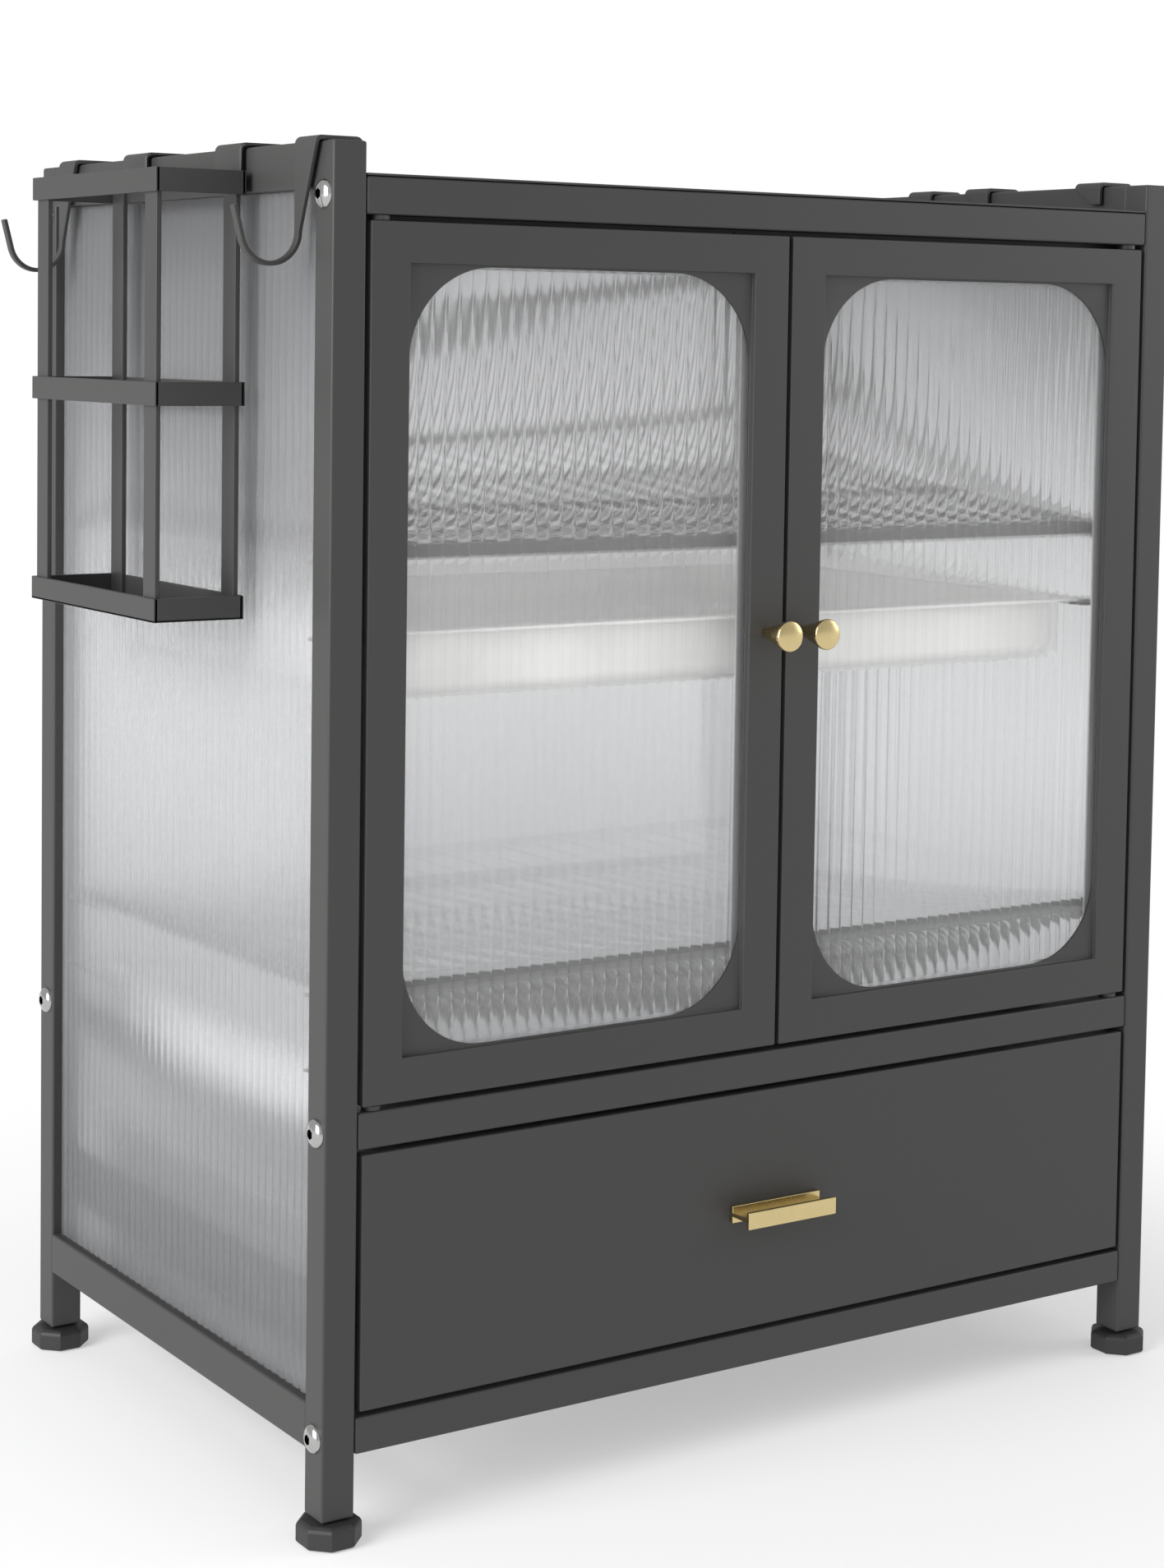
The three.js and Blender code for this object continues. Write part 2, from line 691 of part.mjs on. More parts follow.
// H-section pull: a foot flange on the drawer, a web and a front flange to hook the fingers behind
function drawerPull(level) {
  const back = -halfDepth - seatGap;
  const tip = -halfDepth - pullProjection;
  const x = [-pullLength / 2, pullLength / 2];
  const z = [level - pullHeight / 2, level + pullHeight / 2];
  let bar = block(x, [back - pullFlange, back], z).add(block(x, [tip, tip + pullFlange], z));
  bar = bar.add(block(x, [tip + pullFlange / 2, back - pullFlange / 2],
    [level - pullWeb / 2, level + pullWeb / 2]));
  for (const side of [-1, 1]) {
    bar = bar.add(rod('Y', [back - pullFlange / 2, studReach - halfDepth], studDiameter,
      [side * pullStudSpacing / 2, level], holeSides));
  }
  return bar;
}

// Channel section of a drawer runner: a web at one side and a flange at the top and bottom
function runnerSection(web, lips, [low, high]) {
  const toWeb = Math.sign(web - lips) * runnerSheet / 2;
  const middle = [low + runnerSheet / 2, high - runnerSheet / 2];
  const line = [
    new THREE.Vector2(lips, middle[0]), new THREE.Vector2(web - toWeb, middle[0]),
    new THREE.Vector2(web - toWeb, middle[1]), new THREE.Vector2(lips, middle[1]),
  ];
  return bentStrip(line, runnerSheet);
}

function buildDrawer() {
  const half = innerWidth - drawerGap;
  const z = [bottomRailTop + drawerGap, middleRailBottom - drawerGap];
  place('drawer_front', drawerFront([-half, half], z), frameCoat);
  place('drawer_pull', drawerPull((z[0] + z[1]) / 2), brass);
  const boxHalf = innerWidth - seatGap - runnerWidth - seatGap;
  const boxFront = drawerFrontDepth + seatGap - halfDepth;
  const y = [boxFront, boxFront + drawerBoxLength];
  const inside = boxHalf - drawerSheet;
  const mouth = boxHalf - drawerHem;
  const box = block([-boxHalf, boxHalf], y, [drawerBoxBottom, drawerBoxTop])
    .subtract(block([-inside, inside], [y[0] + drawerSheet, y[1] - drawerSheet],
      [drawerBoxBottom + drawerSheet, drawerBoxTop - drawerSheet]))
    .subtract(block([-mouth, mouth], [y[0] + drawerHem, y[1] - drawerHem],
      [drawerBoxTop - drawerSheet - cutOverrun, drawerBoxTop + cutOverrun]));
  place('drawer_box', box, frameCoat);
  const fixedZ = [runnerBottom, runnerBottom + runnerHeight];
  const innerBy = runnerSheet + runnerRunningGap;
  const movingZ = [fixedZ[0] + innerBy, fixedZ[1] - innerBy];
  const fixedWeb = innerWidth - seatGap;
  const movingWeb = boxHalf + seatGap;
  const meeting = (fixedWeb + movingWeb) / 2;
  const run = [seatGap - innerDepth, seatGap - innerDepth + runnerLength];
  for (const [name, side] of [['left', -1], ['right', 1]]) {
    const outer = runnerSection(side * fixedWeb, side * (meeting - runnerOverlap / 2), fixedZ);
    const inner = runnerSection(side * movingWeb, side * (meeting + runnerOverlap / 2), movingZ);
    place(`${name}_outer_runner`, prism(outer, 'Y', run), zinc);
    place(`${name}_inner_runner`, prism(inner, 'Y', run), zinc);
  }
}

// The line that a strip follows over the side rail, from the lip inside to the drop outside
function saddleLine(side, drop) {
  const inside = innerWidth - hookSlack - hookThickness / 2;
  const outside = halfWidth + hookSlack + hookThickness / 2;
  const top = cabinetHeight + seatGap + hookThickness / 2;
  return [
    new THREE.Vector2(side * inside, top - hookLip), new THREE.Vector2(side * inside, top),
    new THREE.Vector2(side * outside, top), new THREE.Vector2(side * outside, top - drop),
  ];
}

// Hook of sheet: a wide saddle over the rail, whose one edge tapers down to a narrow, open J
function hook(side, edge) {
  const line = saddleLine(side, hookDrop);
  const [lipEnd, , , start] = line;
  const wide = (by) => [edge, edge + side * by].sort((a, b) => a - b);
  const outline = (low, narrow) => new THREE.Shape([
    [0, low], [0, cabinetHeight + cutOverrun * 2], [hookWidth, cabinetHeight + cutOverrun * 2],
    [hookWidth, cabinetHeight], [narrow, low],
  ].map(([by, z]) => new THREE.Vector2(edge + side * by, z)));
  const middle = halfWidth - tubeSize / 2;
  const legs = prism(outline(start.y, hookTipWidth), 'X', outward(side, middle, halfWidth + tubeSize))
    .add(prism(outline(lipEnd.y, hookLipWidth), 'X', outward(side, innerWidth - tubeSize, middle)));
  const blank = prism(bentStrip(line, hookThickness), 'Y', wide(hookWidth));
  const bend = [new THREE.Vector2(start.x, start.y + hookThickness), start];
  const centre = new THREE.Vector2(start.x + side * hookRadius, start.y);
  const sweep = 2 * Math.PI * hookSweepShare;
  for (let i = 1; i <= hookFacets; i += 1) {
    const angle = Math.PI + sweep * i / hookFacets;
    bend.push(new THREE.Vector2(centre.x + side * hookRadius * Math.cos(angle),
      centre.y + hookRadius * Math.sin(angle)));
  }
  const lean = Math.PI + sweep + Math.PI / 2;
  const last = bend[bend.length - 1];
  bend.push(new THREE.Vector2(last.x + side * hookTip * Math.cos(lean), last.y + hookTip * Math.sin(lean)));
  return blank.intersect(legs).add(prism(bentStrip(bend, hookThickness), 'Y', wide(hookTipWidth)));
}

function buildHooks() {
  const places = [
    ['left_front', -1, leftFrontHookSetback - halfDepth],
    ['left_rear', -1, halfDepth - leftRearHookBackSetback],
    ['right_front', 1, rightFrontHookSetback - halfDepth],
    ['right_middle', 1, rightMiddleHookSetback - halfDepth],
    ['right_rear', 1, rightRearHookSetback - halfDepth],
    ['right_end', 1, halfDepth - rightEndHookBackSetback],
  ];
  for (const [name, side, edge] of places) place(`${name}_hook`, hook(side, edge), frameCoat);
}

// Knife basket: three rings of flat bar on four uprights, a floor plate and two hanging straps
function buildBasket() {
  const near = -halfWidth - hookSlack - hookThickness + basketWeld;
  const x = [near - basketDepth, near];
  const y = [basketSetback - halfDepth, basketSetback - halfDepth + basketLength];
  const bottom = cabinetHeight - basketBottomBarDrop;
  const basketTop = cabinetHeight - basketTopBarDrop + basketBarHeight;
  let basket = block(x, y, [bottom, bottom + basketFloor]);
  for (const drop of [basketTopBarDrop, basketMiddleBarDrop, basketBottomBarDrop]) {
    const low = cabinetHeight - drop;
    const high = low + basketBarHeight;
    const ring = block(x, y, [low, high]);
    basket = basket.add(ring.subtract(block(inset(x, basketBarThickness), inset(y, basketBarThickness),
      [low === bottom ? low + basketFloor : low - cutOverrun, high + cutOverrun])));
  }
  const atBothEnds = ([low, high], by) => [[low, low + by], [high - by, high]];
  const inner = inset(x, basketBarThickness - basketWeld);
  for (const upX of atBothEnds(inner, basketUprightThickness)) {
    for (const upY of atBothEnds(inset(y, basketUprightInset), basketUprightWidth)) {
      basket = basket.add(block(upX, upY, [bottom, basketTop]));
    }
  }
  const strap = bentStrip(saddleLine(-1, basketTopBarDrop), hookThickness);
  const places = inset(y, basketStrapInset + basketStrapWidth / 2);
  for (const middle of places) {
    basket = basket.add(prism(strap, 'Y', [middle - basketStrapWidth / 2, middle + basketStrapWidth / 2]));
  }
  place('knife_basket', basket, frameCoat);
}

buildFrame();
buildPanels();
buildBolts();
buildFeet();
buildRacks();
buildDoors();
buildDrawer();
buildBasket();
buildHooks();

// The middle of the bounding box's base becomes the origin
const bounds = new THREE.Box3().setFromObject(cabinet);
const middle = bounds.getCenter(new THREE.Vector3());
cabinet.position.set(-middle.x, -middle.y, -bounds.min.z);

export default cabinet;
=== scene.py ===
import math

import bmesh
import bpy
from mathutils import Matrix, Vector


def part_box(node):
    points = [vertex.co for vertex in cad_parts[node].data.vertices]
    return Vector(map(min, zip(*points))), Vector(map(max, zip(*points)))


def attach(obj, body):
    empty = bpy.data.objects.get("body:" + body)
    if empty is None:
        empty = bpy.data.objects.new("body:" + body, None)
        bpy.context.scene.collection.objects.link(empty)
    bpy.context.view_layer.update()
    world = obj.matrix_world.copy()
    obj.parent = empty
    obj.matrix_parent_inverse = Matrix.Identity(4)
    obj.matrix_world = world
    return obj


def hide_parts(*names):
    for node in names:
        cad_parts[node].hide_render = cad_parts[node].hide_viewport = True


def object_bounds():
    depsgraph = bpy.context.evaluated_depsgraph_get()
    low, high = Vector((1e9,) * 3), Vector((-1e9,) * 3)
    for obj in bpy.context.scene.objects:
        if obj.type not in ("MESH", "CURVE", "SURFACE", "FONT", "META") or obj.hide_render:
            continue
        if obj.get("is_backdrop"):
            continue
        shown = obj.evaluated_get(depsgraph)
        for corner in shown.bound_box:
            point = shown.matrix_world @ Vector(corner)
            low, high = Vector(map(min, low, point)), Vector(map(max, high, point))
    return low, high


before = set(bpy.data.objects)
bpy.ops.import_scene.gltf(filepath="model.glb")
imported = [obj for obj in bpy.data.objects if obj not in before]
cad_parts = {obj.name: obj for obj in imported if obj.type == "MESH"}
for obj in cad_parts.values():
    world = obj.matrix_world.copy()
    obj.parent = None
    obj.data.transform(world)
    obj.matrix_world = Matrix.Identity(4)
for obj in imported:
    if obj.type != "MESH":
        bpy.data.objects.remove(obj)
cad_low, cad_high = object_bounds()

# The view: an eye a little under the height of the top, off the left front corner, as in the product
# photograph. The picture is shifted down, so that the lens hardly tilts and the tubes stay nearly upright.
tubes_low, tubes_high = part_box("left_side_frame")[0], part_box("right_side_frame")[1]
body_middle = Vector(((tubes_low.x + tubes_high.x) / 2, (tubes_low.y + tubes_high.y) / 2, 0))
eye = body_middle + Vector((-1.0261, -1.5236, 0.6492))
yaw, pitch, roll = math.radians(33.53), math.radians(-3.56), math.radians(0.83)
photo_height, lens_in_pixels, shift_in_pixels = 1908, 3530.1, -324

ahead = Vector((math.sin(yaw) * math.cos(pitch), math.cos(yaw) * math.cos(pitch), math.sin(pitch)))
level_right = Vector((math.cos(yaw), -math.sin(yaw), 0))
level_up = level_right.cross(ahead)
right = level_right * math.cos(roll) + level_up * math.sin(roll)
up = level_up * math.cos(roll) - level_right * math.sin(roll)
camera = bpy.data.objects.new("camera", bpy.data.cameras.new("camera"))
camera.data.sensor_width = 36
camera.data.lens = lens_in_pixels * camera.data.sensor_width / photo_height
camera.data.shift_y = shift_in_pixels / photo_height
camera.data.clip_end = 50
camera.matrix_world = Matrix.Translation(eye) @ Matrix((right, up, -ahead)).transposed().to_4x4()
bpy.context.collection.objects.link(camera)
bpy.context.scene.camera = camera
bpy.context.scene.view_settings.view_transform = "Standard"

# The studio: a white floor that keeps the cabinet's soft shadow and turns into the white background
# further off, under an even pale sky, with one large soft lamp at each side.
floor_side, floor_drop, floor_paper = 40, 0.0005, 0.93
fade_start, fade_end, glow_start, glow_end = 0.30, 0.80, 0.40, 1.0
sky_strength, background_strength, aim_height = 0.6, 1.0, 0.4


class Wire:
    """A value on its way through a node tree. Python's operators add the Math nodes."""

    def __init__(self, board, socket):
        self.board, self.socket = board, socket

    def sibling(self, output):
        """Another output of the node that this value comes from."""
        return Wire(self.board, self.socket.node.outputs[output])

    def __add__(self, other):
        return self.board.maths("ADD", self, other)

    def __radd__(self, other):
        return self.board.maths("ADD", other, self)

    def __sub__(self, other):
        return self.board.maths("SUBTRACT", self, other)

    def __rsub__(self, other):
        return self.board.maths("SUBTRACT", other, self)

    def __mul__(self, other):
        return self.board.maths("MULTIPLY", self, other)

    def __rmul__(self, other):
        return self.board.maths("MULTIPLY", other, self)

    def __truediv__(self, other):
        return self.board.maths("DIVIDE", self, other)

    def __pow__(self, other):
        return self.board.maths("POWER", self, other)

    def __abs__(self):
        return self.board.maths("ABSOLUTE", self)


class Board:
    """The nodes of one finish, one background or one shape."""

    def __init__(self, tree):
        self.tree = tree
        tree.nodes.clear()

    def add(self, kind, sockets=(), output=0, **settings):
        """Adds a node, fills or links its sockets and returns one of its outputs as a wire."""
        node = self.tree.nodes.new(kind)
        for key, value in settings.items():
            setattr(node, key, value)
        for key, value in dict(sockets).items():
            if isinstance(value, Wire):
                self.tree.links.new(value.socket, node.inputs[key])
            else:
                node.inputs[key].default_value = value
        return Wire(self, node.outputs[output]) if node.outputs else None

    def maths(self, operation, *values):
        return self.add("ShaderNodeMath", dict(enumerate(values)), operation=operation)

    def xyz(self, x=0.0, y=0.0, z=0.0):
        return self.add("ShaderNodeCombineXYZ", {0: x, 1: y, 2: z})

    def noise(self, place, scale, detail):
        return self.add("ShaderNodeTexNoise", {"Vector": place, "Scale": scale, "Detail": detail})

    def bump(self, height, strength, distance):
        return self.add("ShaderNodeBump", {"Strength": strength, "Distance": distance, "Height": height})

    def mixed_shader(self, share, first, second):
        return self.add("ShaderNodeMixShader", {0: share, 1: first, 2: second})

    def mixed_colour(self, share, first, second):
        return self.add("ShaderNodeMix", {0: share, 6: first, 7: second}, output=2, data_type="RGBA")

    def two_tones(self, share, colour, darker, lighter):
        """Mixes a darker and a lighter shade of one colour by a share from 0 to 1."""
        dark = tuple(channel * darker for channel in colour) + (1,)
        light = tuple(min(channel * lighter, 1) for channel in colour) + (1,)
        return self.mixed_colour(share, dark, light)

    def principled(self, sockets):
        """Ends a finish with one Principled shader that has these sockets."""
        self.add("ShaderNodeOutputMaterial", {"Surface": self.add("ShaderNodeBsdfPrincipled", sockets)})


def new_finish(name):
    material = bpy.data.materials.new(name)
    material.use_nodes = True
    return material, Board(material.node_tree)


def grey(level):
    return level, level, level, 1


def white_stage_floor():
    material, board = new_finish("white_stage_floor")
    spot = board.add("ShaderNodeTexCoord", output="Object")
    away = board.add("ShaderNodeVectorMath", {0: spot}, output="Value", operation="LENGTH")
    fade = board.add("ShaderNodeMapRange", {
        "Value": away, "From Min": fade_start, "From Max": fade_end,
        "To Min": glow_start, "To Max": glow_end}, interpolation_type="SMOOTHSTEP")
    paper = board.add("ShaderNodeBsdfDiffuse", {"Color": grey(floor_paper)})
    glow = board.add("ShaderNodeEmission", {"Color": grey(1), "Strength": 1.0})
    board.add("ShaderNodeOutputMaterial", {"Surface": board.mixed_shader(fade, paper, glow)})
    return material


bpy.ops.mesh.primitive_plane_add(size=floor_side, location=(0, 0, cad_low.z - floor_drop))
floor = bpy.context.object
floor.name = "floor"
floor.data.materials.append(white_stage_floor())
floor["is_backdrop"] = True

world = bpy.context.scene.world or bpy.data.worlds.new("sky")
bpy.context.scene.world = world
world.use_nodes = True
sky = Board(world.node_tree)
seen = sky.add("ShaderNodeLightPath", output="Is Camera Ray")
shown_white = sky.maths("MAXIMUM", seen, seen.sibling("Is Transmission Ray"))
plain_sky = sky.add("ShaderNodeBackground", {"Color": grey(1), "Strength": sky_strength})
white_sky = sky.add("ShaderNodeBackground", {"Color": grey(1), "Strength": background_strength})
sky.add("ShaderNodeOutputWorld", {"Surface": sky.mixed_shader(shown_white, plain_sky, white_sky)})


def soft_lamp(name, place, size, power):
    lamp = bpy.data.objects.new(name, bpy.data.lights.new(name, "AREA"))
    lamp.data.shape = "RECTANGLE"
    lamp.data.size, lamp.data.size_y = size
    lamp.data.energy = power
    lamp.location = body_middle + Vector(place)
    aim = body_middle + Vector((0, 0, aim_height)) - lamp.location
    lamp.rotation_euler = aim.to_track_quat("-Z", "Y").to_euler()
    bpy.context.collection.objects.link(lamp)


soft_lamp("left_lamp", place=(-2.6, -0.5, 1.3), size=(1.6, 2.0), power=84)
soft_lamp("right_lamp", place=(1.9, -1.0, 1.1), size=(0.9, 1.2), power=10)


# The tube frame: two welded side frames of 20 mm square steel tube and six cross rails between them, five
# bolted and one on pegs, in a dark warm grey powder coat with a fine orange peel. The front top rail has a
# thin lip that closes the gap over the doors.
def powder_coat(name, colour, grain, roughness):
    """A coat with orange peel of this grain, and with faint clouds and specks in its tone."""
    material, board = new_finish(name)
    place = board.add("ShaderNodeTexCoord", output="Object")
    peel = board.noise(place, scale=grain, detail=3.0)
    cloud = board.noise(place, scale=7.0, detail=2.0)
    speck = board.noise(place, scale=grain / 3, detail=4.0)
    cloud_share, speck_share, uneven = 0.6, 0.4, 0.12
    board.principled({
        "Base Color": board.two_tones(cloud_share * cloud + speck_share * speck, colour,
                                      darker=0.93, lighter=1.07),
        "Roughness": roughness + uneven * cloud, "Specular IOR Level": 0.4,
        "Normal": board.bump(peel, strength=0.12, distance=0.0002)})
    return material


frame_coat = powder_coat("frame_powder_coat", (0.043, 0.0426, 0.042), grain=1300.0, roughness=0.42)


def plain_object(name, mesh, finish=None):
    """Puts a mesh in the scene as an object, with this finish alone if one is given."""
    if finish:
        mesh.materials.clear()
        mesh.materials.append(finish)
    made = bpy.data.objects.new(name, mesh)
    bpy.context.collection.objects.link(made)
    return made


def evened(made):
    """Weights the normals by face size, so that flats stay flat between rounded edges."""
    made.data.shade_smooth()
    modifier = made.modifiers.new("even_normals", "WEIGHTED_NORMAL")
    modifier.keep_sharp = False
    modifier.weight = 80
    graph = bpy.context.evaluated_depsgraph_get()
    mesh = bpy.data.meshes.new_from_object(made.evaluated_get(graph))
    name = made.name
    old = made.data
    bpy.data.objects.remove(made)
    bpy.data.meshes.remove(old)
    mesh.name = name
    return plain_object(name, mesh)


def add_bars(form, spans, rounding, steps=2):
    """Adds one rounded bar to form for each (lowest corner, highest corner)."""
    for low, high in spans:
        size = Vector(high) - Vector(low)
        shape = Matrix.Translation((Vector(low) + Vector(high)) / 2) @ Matrix.Diagonal((*size, 1))
        verts = bmesh.ops.create_cube(form, size=1, matrix=shape)["verts"]
        edges = list(dict.fromkeys(edge for vert in verts for edge in vert.link_edges))
        bmesh.ops.bevel(form, geom=edges, offset=rounding, segments=steps, profile=0.5, affect="EDGES")


def add_rod(form, middle, radius, length, sides, turn=Matrix()):
    """Adds an upright rod to form, or one turned by a matrix."""
    bmesh.ops.create_cone(form, cap_ends=True, segments=sides, radius1=radius, radius2=radius,
                          depth=length, matrix=Matrix.Translation(middle) @ turn)


def from_bmesh(name, form, finish):
    """Ends the drawing of a form and returns it as an object with even normals."""
    # The bevel's order of faces changes from run to run, so the faces are sorted by their corners.
    form.verts.index_update()
    faces = []
    for face in form.faces:
        corners = [vert.index for vert in face.verts]
        start = corners.index(min(corners))
        faces.append(corners[start:] + corners[:start])
    mesh = bpy.data.meshes.new(name)
    mesh.from_pydata([vert.co for vert in form.verts], [], sorted(faces))
    form.free()
    return evened(plain_object(name, mesh, finish))


def dressed(piece, body, slot, *nodes):
    """Hides the solids that a piece stands for and puts the piece on the body it rides on; slot is not used.
    """
    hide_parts(*nodes)
    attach(piece, body)
    return piece


tube, edge_radius, side_rail_height, sheet = 0.020, 0.0014, 0.025, 0.0012
lug_sheet, lug_shows, seat_gap, weld_depth = 0.002, 0.007, 0.0003, 0.0006
strip_sheet, strip_margin, plate_rounding, tray_wall = 0.002, 0.003, 0.0004, 0.002
for side, sign in (("left", -1), ("right", 1)):
    low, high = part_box(f"{side}_side_frame")
    outer = low.x if sign < 0 else high.x
    inner = outer - sign * tube
    left_x, right_x = sorted((outer, inner))
    bottom_rail_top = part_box(f"{side}_side_panel")[0].z - seat_gap
    form = bmesh.new()
    add_bars(form, [((left_x, low.y, low.z), (right_x, low.y + tube, high.z)),
                    ((left_x, high.y - tube, low.z), (right_x, high.y, high.z))], edge_radius)
    add_bars(form, [((left_x, low.y + tube - edge_radius, top - side_rail_height),
                     (right_x, high.y - tube + edge_radius, top)) for top in (high.z, bottom_rail_top)],
             edge_radius)
    plates = []
    for level in ("upper", "lower"):
        rack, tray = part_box(f"{level}_rack"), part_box(f"{level}_drip_tray")
        for carried, seat in ((rack, rack[0].z), (tray, tray[1].z - tray_wall)):
            end = carried[0].x if sign < 0 else carried[1].x
            near, far = sorted((end - sign * lug_shows, outer - sign * tube / 2))
            for start, stop in ((low.y + tube - weld_depth, low.y + 2 * tube),
                                (high.y - 2 * tube, high.y - tube + weld_depth)):
                plates.append(((near, start, seat - seat_gap - lug_sheet), (far, stop, seat - seat_gap)))
    runner_low, runner_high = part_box(f"{side}_outer_runner")
    near, far = sorted((inner, inner + sign * strip_sheet))
    plates.append(((near, low.y + tube - weld_depth, runner_low.z - strip_margin),
                   (far, high.y - tube + weld_depth, runner_high.z + strip_margin)))
    add_bars(form, plates, plate_rounding)
    dressed(from_bmesh(f"{side}_side_tubes", form, frame_coat), "cabinet", "frame_coat", f"{side}_side_frame")

rail_low, rail_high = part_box("front_bottom_rail")
peg_radius, peg_sides = 0.003, 16
lip_gap, lip_drop, sheet_rounding = 0.0008, 0.005, 0.0003
lip_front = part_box("left_door_leaf")[1].y + lip_gap
for end in ("front", "rear"):
    for level in ("top", "middle", "bottom"):
        low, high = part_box(f"{end}_{level}_rail")
        form = bmesh.new()
        add_bars(form, [((rail_low.x, low.y, low.z), (rail_high.x, high.y, high.z))], edge_radius)
        if (end, level) == ("front", "top"):
            add_bars(form, [((rail_low.x, lip_front, low.z - lip_drop),
                             (rail_high.x, lip_front + sheet, low.z + weld_depth))], sheet_rounding)
        if high.x > rail_high.x:
            add_rod(form, (low + high) / 2, peg_radius, high.x - low.x, peg_sides,
                    Matrix.Rotation(math.pi / 2, 4, "Y"))
        dressed(from_bmesh(f"{end}_{level}_tube", form, frame_coat), "cabinet", "frame_coat",
                f"{end}_{level}_rail")


# The folded sheet pieces: the top, the drawer front and the two stepped door leaves with their hinge pins.
# They are bent from 1.2 mm steel, so every fold keeps a small bend radius, and coated like the tubes.
def ring_of(form, place, low, high, radius, steps):
    """Adds a ring of vertices round a rectangle with round corners; place turns (a, b) into a point."""
    ring = []
    corners = [(high[0] - radius, high[1] - radius, 0), (low[0] + radius, high[1] - radius, 90),
               (low[0] + radius, low[1] + radius, 180), (high[0] - radius, low[1] + radius, 270)]
    for a, b, start in corners:
        for i in range(steps + 1):
            angle = math.radians(start + 90 * i / steps)
            ring.append(form.verts.new(place(a + radius * math.cos(angle), b + radius * math.sin(angle))))
    return ring


def lofted(form, rings, closed):
    """Joins rings of equally many vertices, in order; without closed it caps the first and the last."""
    for below, above in zip(rings, rings[1:] + rings[:1] if closed else rings[1:]):
        for i in range(len(below)):
            j = (i + 1) % len(below)
            form.faces.new((below[i], below[j], above[j], above[i]))
    if not closed:
        form.faces.new(list(reversed(rings[0])))
        form.faces.new(rings[-1])
    bmesh.ops.recalc_face_normals(form, faces=form.faces)


def sheet_rings(form, stations, steps):
    """Adds a ring for each (rectangle, inset, corner radius, depth) on a face that looks forward."""
    return [ring_of(form, lambda a, b: (a, depth, b), (low[0] + inset, low[1] + inset),
                    (high[0] - inset, high[1] - inset), radius, steps)
            for (low, high), inset, radius, depth in stations]


fold = 0.0007
eased, crease = fold * 0.3, fold * 0.4
low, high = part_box("top_panel")
rail_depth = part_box("front_top_rail")[1].y - low.y
form = bmesh.new()
add_bars(form, [((low.x, low.y, high.z - sheet), high)]
         + [((x, low.y + rail_depth, low.z), (x + sheet, high.y - rail_depth, high.z - sheet / 2))
            for x in (low.x, high.x - sheet)], sheet_rounding)
dressed(from_bmesh("top_sheet", form, frame_coat), "cabinet", "frame_coat", "top_panel")

folded_in, drawer_corner_steps = 0.016, 3
low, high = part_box("drawer_front")
outline = ((low.x, low.z), (high.x, high.z))
form = bmesh.new()
lofted(form, sheet_rings(form, [
    (outline, fold, fold, low.y), (outline, eased, fold, low.y + eased), (outline, 0, fold, low.y + fold),
    (outline, 0, fold, high.y - fold), (outline, eased, fold, high.y - eased), (outline, fold, fold, high.y),
    (outline, folded_in, fold, high.y), (outline, folded_in, fold, high.y - sheet),
    (outline, sheet, fold, high.y - sheet), (outline, sheet, fold, low.y + sheet)],
    drawer_corner_steps), False)
dressed(from_bmesh("drawer_face", form, frame_coat), "drawer", "frame_coat", "drawer_front")

border, top_border, step, window_lip, window_radius = 0.024, 0.022, 0.003, 0.001, 0.052
pin_radius, pin_root, pin_reach, pin_inset, pin_depth = 0.0025, 0.007, 0.009, 0.008, 0.006
pin_sides, door_corner_steps = 24, 18
for side in ("left", "right"):
    low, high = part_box(f"{side}_door_leaf")
    low, high = low + Vector((0, 0, pin_reach)), high - Vector((0, 0, pin_reach))
    outline = ((low.x, low.z), (high.x, high.z))
    opening = ((low.x + border, low.z + border), (high.x - border, high.z - top_border))
    face, back, plate = low.y, high.y, low.y + step
    form = bmesh.new()
    lofted(form, sheet_rings(form, [
        (outline, sheet, fold, back), (outline, 0, fold, back), (outline, 0, fold, face + fold),
        (outline, eased, fold, face + eased), (outline, fold, fold, face),
        (opening, -fold, fold, face), (opening, -eased, fold, face + eased),
        (opening, 0, fold, face + fold), (opening, 0, fold, plate - crease), (opening, crease, fold, plate),
        (opening, window_lip, window_radius, plate), (opening, window_lip, window_radius, plate + sheet),
        (opening, -sheet, fold, plate + sheet), (opening, -sheet, fold, face + sheet),
        (outline, sheet, fold, face + sheet)], door_corner_steps), True)
    hinge_x = low.x + pin_inset if side == "left" else high.x - pin_inset
    for bottom, top in ((low.z - pin_reach, low.z + pin_root), (high.z - pin_root, high.z + pin_reach)):
        add_rod(form, (hinge_x, low.y + pin_depth, (bottom + top) / 2), pin_radius, top - bottom, pin_sides)
    dressed(from_bmesh(f"{side}_door_sheet", form, frame_coat), f"{side}_door", "frame_coat",
            f"{side}_door_leaf")


# The reeded sheets: clear plastic with round reeds on the outer face. Four stand between the tubes and
# close the sides and the back, and a ring holds one behind the window of each door.
streak_stretch, crest_sharpness, shade_eased = (380, 380, 3), 6.0, 0.94
reed_pitch, reed_depth, reed_roundness, reed_steps = 0.0085, 0.0012, 0.7, 8


